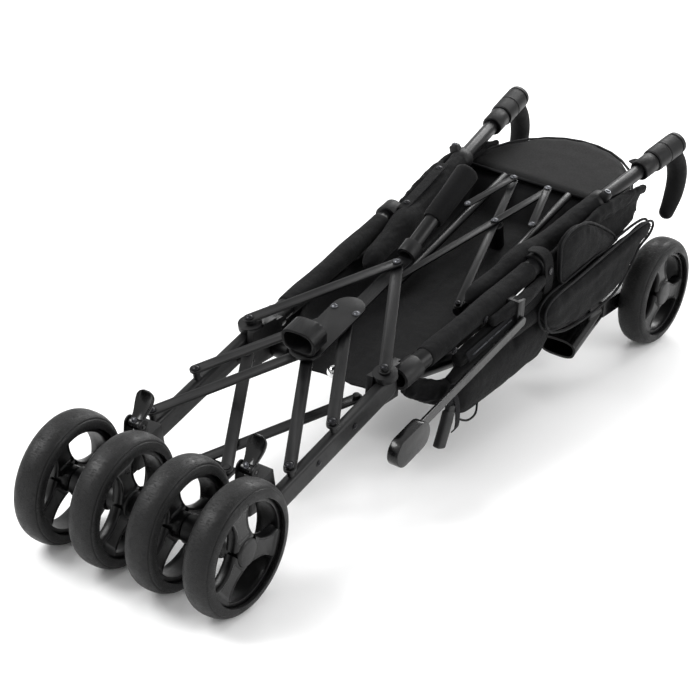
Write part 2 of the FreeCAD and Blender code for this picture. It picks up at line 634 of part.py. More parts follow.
# ---- scissor bars ----------------------------------------------------------------------------------
def scissor_bars(side_name, side):
    """The three wide bars of one side, from the side frame to the spine, and the lower strut."""
    lift = layer_start if side > 0 else layer_start + layer
    turn = Rotation(normal, side * size.bar_angle)
    direction_placement = turn * pitch_rotation
    fitted = "pivot_pin_radius + running_gap"
    open_hole = "pivot_pin_radius + open_pivot_gap"
    for bar_name, along, outer_hole in (("upper_bar", joint_along, fitted),
                                        ("middle_bar", upper_along, open_hole),
                                        ("lower_bar", lower_along, open_hole)):
        bar(f"{bar_name}_{side_name}", "bar_length", "bar_width", "bar_thickness", (outer_hole, fitted),
            Placement(in_plane(side * half_track, along, lift), direction_placement))
    strut_lift = -size.strut_depth - layer if side > 0 else -size.strut_depth
    flipped = Rotation(normal, 180 - side * size.bar_angle) * pitch_rotation
    bar(f"strut_{side_name}", "bar_length", "bar_width", "bar_thickness",
        (fitted, fitted if side > 0 else open_hole),
        Placement(in_plane(side * (half_track - size.strut_inset), strut_along, strut_lift), flipped))


def strut_block():
    """The small block that joins the lower struts, with a pin for each."""
    along = strut_along - bar_reach
    low = -size.strut_depth - 2 * layer
    parts = [box("strut_block_plate", "strut_block_width", "bar_width * 1.5", "bar_thickness * 1.5",
                 Placement(in_plane(-size.strut_block_width / 2, along - 0.75 * size.bar_width,
                                    low - size.bar_thickness / 2 - size.bar_gap), pitch_rotation))]
    for side in SIDES.values():
        parts.append(cylinder(f"strut_block_pin{side + 1}", "pivot_pin_radius", f"{3 * layer}",
                              frame_at(in_plane(side * size.strut_inset, along, low), normal,
                                       Vector(1, 0, 0))))
    piece(fused("strut_block", parts), "strut_block")


# ---- centre spine ----------------------------------------------------------------------------------
def spine():
    """The centre bar with its three pins, the hub plate, the lever cup and the centre tube."""
    low = lower_along + bar_reach
    middle = upper_along + bar_reach
    length = bar_reach - low + 2 * size.centre_tube_radius
    body = new_body("spine_bar_flat")
    sketch = sketch_on(body, "XY_Plane")
    add_slot(sketch, f"{length}", "spine_width / 2")
    pad(body, sketch, "bar_thickness")
    flat = place(body, Placement(in_plane(0, low, -size.bar_thickness / 2), pitch_rotation))
    pin_top = stack_top + size.bar_gap / 2
    pins = []
    for count, along in enumerate((low, middle, bar_reach)):
        pins.append(cylinder(f"spine_pins_{count}", "pivot_pin_radius", f"{pin_top + size.bar_thickness / 2}",
                             frame_at(in_plane(0, along, -size.bar_thickness / 2), normal,
                                      Vector(1, 0, 0))))
    start = in_plane(0, bar_reach + 2 * size.centre_tube_radius, size.centre_tube_radius / 2)
    direction = heading(size.centre_tube_pitch, 0)
    socket = cylinder("spine_bar_socket", "centre_tube_radius + 3", "2 * centre_tube_radius",
                      frame_at(start, direction, Vector(1, 0, 0)))
    tube_room = cylinder("spine_bar_tube_room", "centre_tube_radius", "centre_tube_length",
                         frame_at(start, direction, Vector(1, 0, 0)))
    rooms = fused("spine_bar_rooms", pins + [tube_room])
    piece(cut("spine_bar", fused("spine_bar_solid", [flat, socket]), rooms), "spine_bar")
    pin_node = doc.addObject("Part::Compound", "spine_pins")
    pin_node.Links = [doc.copyObject(item) for item in pins]
    piece(pin_node, "spine_pins")

    plate_lift = pin_top
    pivot = in_plane(0, low + size.cup_setback, plate_lift + size.hub_plate_thickness + size.cup_ear_height)
    half_ear = size.cup_ear_width / 2
    ear = box("hub_plate_ear", "cup_ear_width", "2 * cup_ear_radius", "cup_ear_height",
              Placement(pivot - normal * size.cup_ear_height - along_u * size.cup_ear_radius
                        - Vector(half_ear, 0, 0), pitch_rotation))
    ear_top = cylinder("hub_plate_ear_top", "cup_ear_radius", "cup_ear_width",
                       frame_at(pivot - Vector(half_ear, 0, 0), Vector(1, 0, 0), Vector(0, 1, 0)))
    disc = new_body("hub_plate_disc")
    sketch = sketch_on(disc, "XY_Plane")
    add_slot(sketch, f"{middle - low}", "hub_plate_width / 2")
    pad(disc, sketch, "hub_plate_thickness")
    place(disc, Placement(in_plane(0, low, plate_lift), pitch_rotation))
    bore = cylinder("hub_plate_bore", "pedal_pin_radius + running_gap", "cup_ear_width",
                    frame_at(pivot - Vector(half_ear, 0, 0), Vector(1, 0, 0), Vector(0, 1, 0)))
    piece(cut("hub_plate", fused("hub_plate_solid", [disc, ear, ear_top]), bore), "hub_plate")
    lever_cup(pivot)

    tube("centre_tube", "centre_tube_radius", "tube_wall", "centre_tube_length", start, direction)


def lever_cup(pivot):
    """The foot lever that frees the fold: an open oval cup on two ears, with its pivot pin."""
    centre = pivot + normal * (size.cup_half_height - size.cup_ear_radius + size.bar_gap)
    closed_end = centre - along_u * (size.cup_ear_radius + 2 * size.bar_gap)
    cup = oval_block(closed_end, 0, size.cup_depth, 0)
    hollow = oval_block(closed_end, size.cup_wall, size.cup_depth + 1, size.cup_wall)
    shell = doc.addObject("Part::Feature", "lever_cup_shell")
    shell.Shape = cup.cut(hollow)
    parts = [shell]
    ear_inner = size.cup_ear_width / 2 + size.side_gap
    for sign in (-1, 1):
        low = sign * (ear_inner + size.cup_wall / 2) - size.cup_wall / 2
        root = pivot + Vector(low, 0, 0) - along_u * (size.cup_ear_radius + size.cup_wall)
        parts.append(box(f"lever_cup_ear{sign + 1}", "cup_wall", "cup_ear_radius + cup_wall",
                         "2 * cup_ear_radius",
                         Placement(root - normal * size.cup_ear_radius, pitch_rotation)))
        parts.append(cylinder(f"lever_cup_knuckle{sign + 1}", "cup_ear_radius", "cup_wall",
                              frame_at(pivot + Vector(low, 0, 0), Vector(1, 0, 0), Vector(0, 1, 0))))
    half = ear_inner + size.cup_wall
    parts.append(cylinder("lever_cup_pin", "pedal_pin_radius", f"{2 * half}",
                          frame_at(pivot - Vector(half, 0, 0), Vector(1, 0, 0), Vector(0, 1, 0))))
    piece(fused("lever_cup", parts), "lever_cup")


def oval_block(closed_end, start, end, wall):
    """A block of oval section that runs from one distance to another down the scissor plane."""
    loops = []
    for reach in (start, end):
        loop = rounded_loop(Vector(), size.cup_half_width - wall, size.cup_half_height - wall)
        loop.Placement = Placement(closed_end - along_u * reach, pitch_rotation)
        loops.append(loop)
    return Part.makeLoft(loops, True)


# ---- seat cross --------------------------------------------------------------------------------------
cross_origin = Vector(0, size.cross_place, size.cross_height)
cross_layer = size.cross_thickness + size.bar_gap


def cross_point(across, along, lift=0.0):
    return cross_origin + Vector(across, 0, 0) + along_u * along + normal * lift


def seat_cross(side_name, side):
    """One crossed bar (named by its lower end), its seat tube and the short link at that side."""
    sine = math.sin(radians(size.cross_angle))
    cosine = math.cos(radians(size.cross_angle))
    lift = 0 if side > 0 else cross_layer
    low_end = (side * size.cross_half_length * sine, -size.cross_half_length * cosine)
    turn = Rotation(normal, side * size.cross_angle) * pitch_rotation
    name = f"cross_bar_{side_name}"
    body = new_body(name)
    sketch = sketch_on(body, "XY_Plane")
    add_slot(sketch, "cross_half_length + cross_top_length", "cross_width / 2")
    for reach in ("0", "cross_half_length", "cross_half_length + cross_top_length"):
        add_circle(sketch, "cross_pin_radius + running_gap", ("0", reach))
    pad(body, sketch, "cross_thickness")
    piece(body, name, Placement(cross_point(low_end[0], low_end[1], lift), turn))

    name = f"seat_tube_{side_name}"
    drop = -size.seat_tube_radius - size.bar_gap
    start = cross_point(low_end[0], low_end[1] - size.cross_width / 2, drop)
    shaft = cylinder(name + "_shaft", "seat_tube_radius", "seat_tube_length",
                     frame_at(start, along_u, Vector(1, 0, 0)))
    pin = cylinder(name + "_pin", "cross_pin_radius", f"{2 * cross_layer - drop}",
                   frame_at(cross_point(low_end[0], low_end[1], drop), normal, Vector(1, 0, 0)))
    piece(fused(name, [shaft, pin]), name)

    name = f"short_link_{side_name}"
    top = (side * size.cross_top_length * sine, size.cross_top_length * cosine)
    link_lift = 2 * cross_layer
    link = new_body(name + "_flat")
    sketch = sketch_on(link, "XY_Plane")
    add_slot(sketch, "cross_half_length - cross_top_length", "cross_width / 2")
    add_circle(sketch, "cross_pin_radius + running_gap", ("0", "0"))
    pad(link, sketch, "cross_thickness")
    flipped = Rotation(normal, 180 + side * size.cross_angle) * pitch_rotation
    place(link, Placement(cross_point(top[0], top[1], link_lift), flipped))
    piece(link, name)


def seat_post():
    """The post under the seat cross, with the pin on which both bars turn."""
    bottom = -cross_floor_gap()
    disc = cylinder("seat_post_disc", "cross_width", f"{-bottom - size.bar_gap}",
                    frame_at(cross_point(0, 0, bottom), normal, Vector(1, 0, 0)))
    pin = cylinder("seat_post_pin", "cross_pin_radius", f"{-bottom + 2 * cross_layer}",
                   frame_at(cross_point(0, 0, bottom), normal, Vector(1, 0, 0)))
    piece(fused("seat_post", [disc, pin]), "seat_post")


def floor_top(place_y):
    """Height of the cabin floor's upper face at this distance from the rear axle."""
    slope = math.tan(radians(size.floor_pitch))
    return size.floor_start_height + size.floor_thickness + (place_y - size.floor_start) * slope


def cross_floor_gap():
    return (size.cross_height - floor_top(size.cross_place)) * math.cos(radians(size.scissor_pitch))


# ---- canopy arm ----------------------------------------------------------------------------------------
def canopy_arm(name, side):
    """A flat arm with a rounded paddle end, on a bracket that grips the rail."""
    pivot = Vector(side * arm_half_width, size.arm_place, size.arm_height)
    back = Rotation(Vector(1, 0, 0), size.arm_pitch)
    along = back.multVec(Vector(0, -1, 0))
    standing = Rotation(Vector(0, 0, 0), along, Vector(side, 0, 0), "ZYX")
    flat = new_body(name + "_flat")
    sketch = sketch_on(flat, "XY_Plane")
    add_slot(sketch, "arm_length", "arm_width / 2")
    pad(flat, sketch, "arm_thickness", symmetric=True)
    place(flat, Placement(pivot, standing))
    paddle = new_body(name + "_paddle")
    sketch = sketch_on(paddle, "XY_Plane")
    add_slot(sketch, "paddle_length - paddle_width", "paddle_width / 2")
    pad(paddle, sketch, "paddle_thickness")
    tip = pivot + along * size.arm_length - Vector(side * size.arm_thickness / 2, 0, 0)
    place(paddle, Placement(tip, standing))
    pin = cylinder(name + "_pin", "pivot_pin_radius", "arm_pin_length",
                   outward(pivot, -side))
    piece(fused(name, [flat, paddle, pin]), name)


# ---- soft parts ------------------------------------------------------------------------------------------
def cabin_floor():
    panel = box("cabin_floor_panel", f"{2 * floor_half_width}", "floor_length", "floor_thickness",
                Placement(Vector(-floor_half_width, size.floor_start, size.floor_start_height),
                          Rotation(Vector(1, 0, 0), size.floor_pitch)))
    tilt = Rotation(Vector(1, 0, 0), size.board_pitch)
    corner = Vector(-floor_half_width, 0, -size.floor_riser)
    riser = box("cabin_floor_riser", f"{2 * floor_half_width}", "2 * floor_thickness", "floor_riser",
                Placement(Vector(0, size.board_start, size.board_height) + tilt.multVec(corner), tilt))
    piece(fused("cabin_floor", [panel, riser]), "cabin_floor")


def base_board():
    """The cabin's stiff base board: a panel whose free end is half an ellipse."""
    half_width = half_track + size.board_outset
    ellipse = Part.Ellipse(Vector(), max(half_width, size.board_length), min(half_width, size.board_length))
    if size.board_length > half_width:
        ellipse.rotate(Placement(Vector(), Rotation(Vector(0, 0, 1), 90)))
        arc = Part.ArcOfEllipse(ellipse, -math.pi / 2, math.pi / 2)
    else:
        arc = Part.ArcOfEllipse(ellipse, 0, math.pi)
    edge = arc.toShape()
    chord = Part.LineSegment(arc.EndPoint, arc.StartPoint).toShape()
    face = Part.Face(Part.Wire([edge, chord]))
    board = doc.addObject("Part::Feature", "base_board")
    board.Shape = face.extrude(Vector(0, 0, size.board_thickness))
    tilt = Rotation(Vector(1, 0, 0), size.board_pitch)
    piece(board, "base_board", Placement(Vector(0, size.board_start, size.board_height), tilt))


def cabin_roll():
    """The rolled fabric under the right rail: a bolster of oval section with drawn-in ends."""
    direction = heading(size.roll_pitch, 0)
    start = Vector(half_track + size.roll_outset, size.roll_start, size.roll_height)
    loops = []
    for share, scale in ((0, 0.7), (0.12, 1), (0.88, 1), (1, 0.7)):
        centre = start + direction * (size.roll_length * share)
        loops.append(rounded_loop(centre, size.roll_half_thickness * scale, size.roll_half_depth * scale))
    bolster = doc.addObject("Part::Feature", "cabin_roll")
    bolster.Shape = Part.makeLoft(loops, True)
    piece(bolster, "cabin_roll")


def side_flap():
    """The quilted flap outside the right rail: a flat padded slab with rounded ends."""
    body = new_body("side_flap")
    sketch = sketch_on(body, "XY_Plane")
    add_slot(sketch, "flap_length", "flap_radius")
    pad(body, sketch, "flap_thickness")
    direction = heading(size.flap_pitch, 0)
    outside = Vector(1, 0, 0)
    turn = Rotation(direction.cross(outside), direction, outside, "ZYX")
    start = Vector(half_track + size.flap_outset, size.flap_start, size.flap_height)
    piece(body, "side_flap", Placement(start, turn))


# ---- assembly --------------------------------------------------------------------------------------------
for side_name, side in SIDES.items():
    for place_name, offset in (("inner", -size.twin_spacing / 2), ("outer", size.twin_spacing / 2)):
        hub_centre = Vector(side * (pair_centre + offset), 0, size.rear_wheel_radius)
        wheel(f"rear_wheel_{side_name}_{place_name}", hub_centre, "rear_wheel_radius")
    rear_housing(f"rear_housing_{side_name}", side)
    brake_pedal(f"brake_pedal_{side_name}", side)
    rear_leg(f"rear_leg_{side_name}", side)
    side_joint(f"side_joint_{side_name}", side)
    side_frame(side_name, side)
    front_centre = front_leg(side_name, side)
    wheel(f"front_wheel_{side_name}", front_centre, "front_wheel_radius")
    scissor_bars(side_name, side)
    seat_cross(side_name, side)
strut_block()
spine()
seat_post()
canopy_arm("canopy_arm", 1)
cabin_floor()
base_board()
cabin_roll()
side_flap()
doc.recompute()

# ---- row frame: the origin is under the middle of the whole stroller, on the ground ----------------------
bounds = FreeCAD.BoundBox()
for item in pieces:
    bounds.add(item.Shape.optimalBoundingBox(False, False))
shift = Vector(-(bounds.XMin + bounds.XMax) / 2, -(bounds.YMin + bounds.YMax) / 2, -bounds.ZMin)
faulty = [item.Label for item in doc.Objects
          if any(word in str(item.State) for word in ("Invalid", "Error"))]
if faulty:
    raise RuntimeError(f"these did not build: {faulty}")
os.makedirs("parts", exist_ok=True)
for item in pieces:
    shape = item.Shape
    if shape.isNull() or not shape.isValid():
        raise RuntimeError(f"{item.Label} has no valid shape")
    moved = shape.copy()
    moved.translate(shift)
    moved.exportStep(f"parts/{item.Label}.step")
print(f"{len(pieces)} pieces, row frame shift {shift}, size {bounds.XLength:.1f} x {bounds.YLength:.1f} "
      f"x {bounds.ZLength:.1f}")
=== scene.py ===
import math

import bmesh
import bpy
from mathutils import Matrix, Vector, noise


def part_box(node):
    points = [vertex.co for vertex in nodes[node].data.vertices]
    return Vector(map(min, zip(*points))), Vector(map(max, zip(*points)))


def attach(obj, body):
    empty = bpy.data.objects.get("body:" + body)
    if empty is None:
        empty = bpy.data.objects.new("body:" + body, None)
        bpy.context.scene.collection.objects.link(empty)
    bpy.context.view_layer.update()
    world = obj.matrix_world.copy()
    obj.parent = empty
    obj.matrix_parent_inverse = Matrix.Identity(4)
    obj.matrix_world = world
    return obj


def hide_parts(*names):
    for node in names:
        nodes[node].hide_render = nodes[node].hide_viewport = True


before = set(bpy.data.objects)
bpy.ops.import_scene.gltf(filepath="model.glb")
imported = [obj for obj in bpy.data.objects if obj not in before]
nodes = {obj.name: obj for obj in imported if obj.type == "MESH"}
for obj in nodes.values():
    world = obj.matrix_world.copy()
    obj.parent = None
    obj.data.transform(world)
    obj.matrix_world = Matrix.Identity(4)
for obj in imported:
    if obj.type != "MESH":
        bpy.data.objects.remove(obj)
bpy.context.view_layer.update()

# ---- places: millimetres from the midplane, the rear axle line and the ground -------------------
wheel_low, wheel_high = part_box("rear_wheel_right_outer_tyre")
AXLE_Y = (wheel_low[1] + wheel_high[1]) / 2
MM = 0.001
SIDES = {"left": -1, "right": 1}
SCISSOR_PITCH = math.radians(15.3)
SCISSOR_ALONG = Vector((0, math.cos(SCISSOR_PITCH), math.sin(SCISSOR_PITCH)))
SCISSOR_NORMAL = Vector((0, -math.sin(SCISSOR_PITCH), math.cos(SCISSOR_PITCH)))
BAR_LENGTH = 189.0
BAR_ANGLE = math.radians(29.1)
HALF_TRACK = BAR_LENGTH * math.sin(BAR_ANGLE)
BAR_REACH = BAR_LENGTH * math.cos(BAR_ANGLE)
SCISSOR_CROSS = (0, 293, 155)
SEAT_CROSS = (0, 673, 181)
HANDLE_FOOT = (72, 505, 165)
HANDLE_PITCH, HANDLE_TOE = math.radians(11.8), math.radians(6.2)


def at(point):
    """The row-frame place, in metres, of a point in millimetres from the rear axle."""
    return Vector((point[0] * MM, point[1] * MM + AXLE_Y, point[2] * MM))


def in_plane(across, along, lift=0.0, origin=SCISSOR_CROSS):
    """A place across and along the scissor's plane, lifted off it, in millimetres."""
    return Vector(origin) + Vector((across, 0, 0)) + SCISSOR_ALONG * along + SCISSOR_NORMAL * lift


def along_at(place):
    """How far along the scissor's plane a distance from the rear axle lies."""
    return (place - SCISSOR_CROSS[1]) / math.cos(SCISSOR_PITCH)


def handle_line(side):
    """The direction of a handle tube."""
    level = math.cos(HANDLE_PITCH)
    return Vector((side * level * math.sin(HANDLE_TOE), level * math.cos(HANDLE_TOE), math.sin(HANDLE_PITCH)))


def on_handle(side, along):
    """The place on a handle tube's axis this far from its foot."""
    foot_x, foot_y, foot_z = HANDLE_FOOT
    return Vector((side * foot_x, foot_y, foot_z)) + handle_line(side) * along


def ease(value):
    """A smooth step from 0 to 1."""
    value = min(max(value, 0.0), 1.0)
    return value * value * (3 - 2 * value)


# ---- materials ------------------------------------------------------------------------------------
def linear(code):
    """Linear RGBA of an sRGB hex colour."""
    channels = [int(code[index:index + 2], 16) / 255 for index in (1, 3, 5)]
    return [c / 12.92 if c <= 0.04045 else ((c + 0.055) / 1.055) ** 2.4 for c in channels] + [1.0]


def add(tree, kind, settings=None, inputs=None):
    """Adds a node with its settings and its inputs, which are values or sockets to link."""
    node = tree.nodes.new(kind)
    for key, value in (settings or {}).items():
        setattr(node, key, value)
    for key, value in (inputs or {}).items():
        socket = node.inputs[key]
        if isinstance(value, bpy.types.NodeSocket):
            tree.links.new(value, socket)
        else:
            socket.default_value = value
    return node


def start(name, **shader_values):
    material = bpy.data.materials.new(name)
    material.use_nodes = True
    tree = material.node_tree
    shader = tree.nodes["Principled BSDF"]
    for key, value in shader_values.items():
        shader.inputs[key.replace("_", " ")].default_value = value
    place = add(tree, "ShaderNodeTexCoord").outputs["Object"]
    return material, tree, shader, place


def speckle(tree, place, size_mm, detail=3.0, roughness=0.55):
    """Noise whose features are about this many millimetres across."""
    return add(tree, "ShaderNodeTexNoise", None, {
        "Vector": place, "Scale": 1 / (size_mm * MM), "Detail": detail, "Roughness": roughness,
    }).outputs["Fac"]


def spread(tree, value, low, high, from_low=0.35, from_high=0.65):
    return add(tree, "ShaderNodeMapRange", None, {
        "Value": value, "From Min": from_low, "From Max": from_high, "To Min": low, "To Max": high,
    }).outputs["Result"]


def blend_colours(tree, value, dark, light, low=0.35, high=0.65):
    ramp = add(tree, "ShaderNodeValToRGB", None, {"Fac": value})
    ramp.color_ramp.elements[0].position = low
    ramp.color_ramp.elements[1].position = high
    ramp.color_ramp.elements[0].color = linear(dark)
    ramp.color_ramp.elements[1].color = linear(light)
    return ramp.outputs["Color"]


def math_node(tree, operation, first, second=0.0, third=None):
    node = tree.nodes.new("ShaderNodeMath")
    node.operation = operation
    for socket, value in zip(node.inputs, (first, second, third)):
        if isinstance(value, bpy.types.NodeSocket):
            tree.links.new(value, socket)
        elif value is not None:
            socket.default_value = value
    return node.outputs["Value"]


def finish_surface(tree, shader, colour, roughness, heights):
    """Links colour and roughness, and stacks bumps given as (height socket, depth in mm)."""
    tree.links.new(colour, shader.inputs["Base Color"])
    tree.links.new(roughness, shader.inputs["Roughness"])
    normal = None
    for height, depth in heights:
        bump = add(tree, "ShaderNodeBump", None, {"Height": height, "Distance": depth * MM, "Strength": 1.0})
        if normal is not None:
            tree.links.new(normal, bump.inputs["Normal"])
        normal = bump.outputs["Normal"]
    tree.links.new(normal, shader.inputs["Normal"])


def plain_finish(name, dark, light, blotch_mm, rough, grain_mm, grain_depth, wave_mm=0, wave_depth=0.0,
                 **shader_values):
    """A moulded, painted or foamed skin: blotchy colour and roughness over a fine grain."""
    material, tree, shader, place = start(name, **shader_values)
    blotches = speckle(tree, place, blotch_mm, 4.0)
    scuffs = speckle(tree, place, blotch_mm / 5, 6.0, 0.7)
    grain = speckle(tree, place, grain_mm, 2.0)
    heights = [(grain, grain_depth)]
    if wave_mm:
        heights.append((speckle(tree, place, wave_mm, 1.0), wave_depth))
    roughness = math_node(tree, "ADD", spread(tree, blotches, rough[0], rough[1]),
                          spread(tree, scuffs, -0.05, 0.08, 0.3, 0.75))
    finish_surface(tree, shader, blend_colours(tree, blotches, dark, light), roughness, heights)
    return material


def woven_finish(name, dark, light, thread_mm, depth, fold_mm, fold_depth, rough=(0.72, 0.92),
                 **shader_values):
    """Plain-woven cloth: threads cross at the given spacing, over soft creases."""
    material, tree, shader, place = start(name, **shader_values)
    split = add(tree, "ShaderNodeSeparateXYZ", None, {"Vector": place})
    turn = 2 * math.pi / (thread_mm * MM)
    warp = math_node(tree, "SINE", math_node(tree, "MULTIPLY", split.outputs["Y"], turn))
    side = math_node(tree, "ADD", split.outputs["X"], split.outputs["Z"])
    weft = math_node(tree, "SINE", math_node(tree, "MULTIPLY", side, turn))
    weave = math_node(tree, "MULTIPLY_ADD", math_node(tree, "MULTIPLY", warp, weft), 0.5, 0.5)
    blotches = speckle(tree, place, 45, 4.0)
    lint = speckle(tree, place, 2.2, 5.0, 0.8)
    creases = speckle(tree, place, fold_mm, 3.0)
    tone = math_node(tree, "ADD", math_node(tree, "MULTIPLY", weave, 0.25),
                     math_node(tree, "MULTIPLY", math_node(tree, "ADD", blotches, lint), 0.4))
    finish_surface(tree, shader, blend_colours(tree, tone, dark, light, 0.3, 0.75),
                   spread(tree, lint, rough[0], rough[1]), [(creases, fold_depth), (weave, depth)])
    return material


def webbing_finish(name, dark, light, rib_mm, depth):
    """Ribbed polyester tape, whose ribs run across the tape from its own UV map."""
    material, tree, shader, place = start(name, Specular_IOR_Level=0.15)
    along = add(tree, "ShaderNodeUVMap", {"uv_map": "run"})
    split = add(tree, "ShaderNodeSeparateXYZ", None, {"Vector": along.outputs["UV"]})
    turn = 2 * math.pi / (rib_mm * MM)
    ribs = math_node(tree, "SINE", math_node(tree, "MULTIPLY", split.outputs["Y"], turn))
    height = math_node(tree, "MULTIPLY_ADD", ribs, 0.5, 0.5)
    lint = speckle(tree, place, 1.5, 5.0, 0.8)
    tone = math_node(tree, "ADD", math_node(tree, "MULTIPLY", height, 0.6),
                     math_node(tree, "MULTIPLY", lint, 0.4))
    finish_surface(tree, shader, blend_colours(tree, tone, dark, light, 0.25, 0.8),
                   spread(tree, lint, 0.6, 0.85), [(height, depth)])
    return material


def tyre_finish(name, dark, light):
    """Closed-cell EVA: a satin skin with fine moulding marks round the tread and short nicks."""
    material, tree, shader, place = start(name, Specular_IOR_Level=0.3)
    ring = add(tree, "ShaderNodeUVMap", {"uv_map": "run"})
    stretched = add(tree, "ShaderNodeMapping", None,
                    {"Vector": ring.outputs["UV"], "Scale": (1500.0, 160.0, 1.0)})
    nick = add(tree, "ShaderNodeTexNoise", None,
               {"Vector": stretched.outputs["Vector"], "Scale": 1.0, "Detail": 2.0, "Roughness": 0.4})
    nicks = spread(tree, nick.outputs["Fac"], 1.0, 0.0, 0.58, 0.66)
    blotches = speckle(tree, place, 18, 5.0, 0.65)
    grain = speckle(tree, place, 0.7, 2.0)
    roughness = math_node(tree, "ADD", spread(tree, blotches, 0.36, 0.56), spread(tree, grain, 0.0, 0.06))
    finish_surface(tree, shader, blend_colours(tree, blotches, dark, light), roughness,
                   [(grain, 0.05), (blotches, 0.5), (nicks, 0.6)])
    return material


MATERIALS = {
    # closed-cell EVA foam tyres: soft broad highlights broken by fine nicks
    "tyre": tyre_finish("eva_foam_tyre", "#050505", "#0b0b0c"),
    # glass-filled nylon wheels, moulded: darker and tighter highlights than the tyres
    "rim": plain_finish("moulded_nylon_wheel", "#030303", "#070708", 30, (0.27, 0.4), 0.8, 0.05, 12, 0.2,
                        Specular_IOR_Level=0.3),
    # powder-coated steel tube: smooth coat with faint orange peel
    "tube": plain_finish("powder_coated_steel_tube", "#030304", "#070708", 60, (0.3, 0.44), 1.6, 0.03,
                         7, 0.06, Specular_IOR_Level=0.25),
    # powder-coated flat steel: flatter sheen and rolled-edge highlights
    "bar": plain_finish("powder_coated_flat_steel", "#040405", "#09090a", 40, (0.34, 0.48), 1.3, 0.04,
                        9, 0.08, Specular_IOR_Level=0.28),
    # moulded polypropylene with a spark-eroded texture: even, dull black
    "plastic": plain_finish("moulded_polypropylene", "#030304", "#080809", 25, (0.38, 0.54), 0.9, 0.06,
                            Specular_IOR_Level=0.25),
    # glossy ABS on the fork covers and the pedal scoops
    "gloss": plain_finish("glossy_abs", "#020202", "#050506", 35, (0.16, 0.28), 2.5, 0.03, 14, 0.25,
                          Specular_IOR_Level=0.4),
    # closed-cell foam grips: matt skin with open pores
    "foam": plain_finish("foam_grip", "#020203", "#060607", 12, (0.62, 0.8), 1.1, 0.16,
                         Specular_IOR_Level=0.15),
    # zinc-plated steel rivets and screws
    "steel": plain_finish("zinc_plated_steel", "#3c3d40", "#66676b", 6, (0.25, 0.4), 0.5, 0.02,
                          Metallic=1.0),
    # polished steel ball
    "chrome": plain_finish("polished_steel_ball", "#d6d6d6", "#f2f2f2", 8, (0.08, 0.14), 0.5, 0.004,
                           Metallic=1.0),
    # black-coated rivets
    "rivet": plain_finish("blackened_rivet", "#0e0e10", "#242427", 5, (0.25, 0.38), 0.5, 0.02, Metallic=0.8),
    # 600-denier polyester; threads are drawn at 1.1 mm, about twice their real spacing, so that they show
    "cloth": woven_finish("woven_polyester", "#030304", "#0b0b0c", 1.1, 0.12, 34, 3.2, Sheen_Weight=0.03,
                          Sheen_Roughness=0.5, Specular_IOR_Level=0.12),
    # the smoother lining: tighter threads and longer creases
    "lining": woven_finish("polyester_lining", "#010102", "#040405", 0.8, 0.06, 60, 3.0, rough=(0.6, 0.8),
                           Sheen_Weight=0.02, Specular_IOR_Level=0.12),
    # the base board's coated cover: a slightly lighter grey
    "board": woven_finish("coated_board_cover", "#050505", "#09090a", 0.9, 0.05, 80, 0.6, rough=(0.6, 0.74),
                          Specular_IOR_Level=0.15),
    "webbing": webbing_finish("ribbed_webbing", "#040405", "#17171a", 2.2, 0.35),
    "piping": plain_finish("bias_binding", "#060607", "#101012", 9, (0.55, 0.75), 0.6, 0.08,
                           Specular_IOR_Level=0.2),
}


# ---- mesh makers ------------------------------------------------------------------------------------
def piece(name, verts, faces, finish, body, replaced=(), uv=None, smooth=40):
    """A closed piece in millimetres, riding on a CAD body. uv gives each vertex its place on the run map."""
    mesh = bpy.data.meshes.new(name)
    mesh.from_pydata([at(v) for v in verts], [], faces)
    if uv is not None:
        layer = mesh.uv_layers.new(name="run")
        for loop in mesh.loops:
            layer.data[loop.index].uv = uv[loop.vertex_index]
    return enter(name, mesh, finish, body, replaced, smooth)


def show(name, data):
    item = bpy.data.objects.new(name, data)
    bpy.context.collection.objects.link(item)
    return item


def shade(mesh, sharp_angle):
    mesh.shade_smooth()
    mesh.set_sharp_from_angle(angle=math.radians(sharp_angle))


def paint(mesh, finish):
    mesh.materials.clear()
    mesh.materials.append(MATERIALS[finish])


def enter(name, mesh, finish, body, replaced=(), smooth=40):
    """An object whose faces all look outwards; without a finish it is dressed later."""
    build = bmesh.new()
    build.from_mesh(mesh)
    bmesh.ops.recalc_face_normals(build, faces=build.faces)
    build.to_mesh(mesh)
    build.free()
    if finish:
        paint(mesh, finish)
    mesh.shade_smooth()
    if smooth:
        mesh.set_sharp_from_angle(angle=math.radians(smooth))
    item = show(name, mesh)
    if replaced:
        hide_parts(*replaced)
    if body:
        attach(item, body)
    return item


def baked(item):
    """The object with its modifiers made part of its mesh."""
    bpy.context.view_layer.update()
    graph = bpy.context.evaluated_depsgraph_get()
    mesh = bpy.data.meshes.new_from_object(item.evaluated_get(graph))
    item.modifiers.clear()
    item.data = mesh
    return item


def polished(node, finish, body, bevel=0.8, smooth=35):
    """A copy of a CAD node with its seams merged and its edges rounded, which stands for the node."""
    mesh = nodes[node].data.copy()
    build = bmesh.new()
    build.from_mesh(mesh)
    bmesh.ops.remove_doubles(build, verts=build.verts, dist=0.00002)
    bmesh.ops.dissolve_limit(build, angle_limit=math.radians(1.5), verts=build.verts, edges=build.edges)
    build.to_mesh(mesh)
    build.free()
    paint(mesh, finish)
    mesh.shade_smooth()
    item = show(node + "_finished", mesh)
    modifier = item.modifiers.new("edges", "BEVEL")
    modifier.width = bevel * MM
    modifier.segments = 2
    modifier.limit_method = "ANGLE"
    modifier.angle_limit = math.radians(32)
    modifier.harden_normals = False
    baked(item)
    shade(item.data, smooth)
    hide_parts(node)
    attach(item, body)
    return item


def curve_point(before, here, there, after, t):
    """A point between here and there on the smooth curve through all four."""
    return 0.5 * ((2 * here) + (there - before) * t
                  + (2 * before - 5 * here + 4 * there - after) * t * t
                  + (3 * here - before - 3 * there + after) * t ** 3)


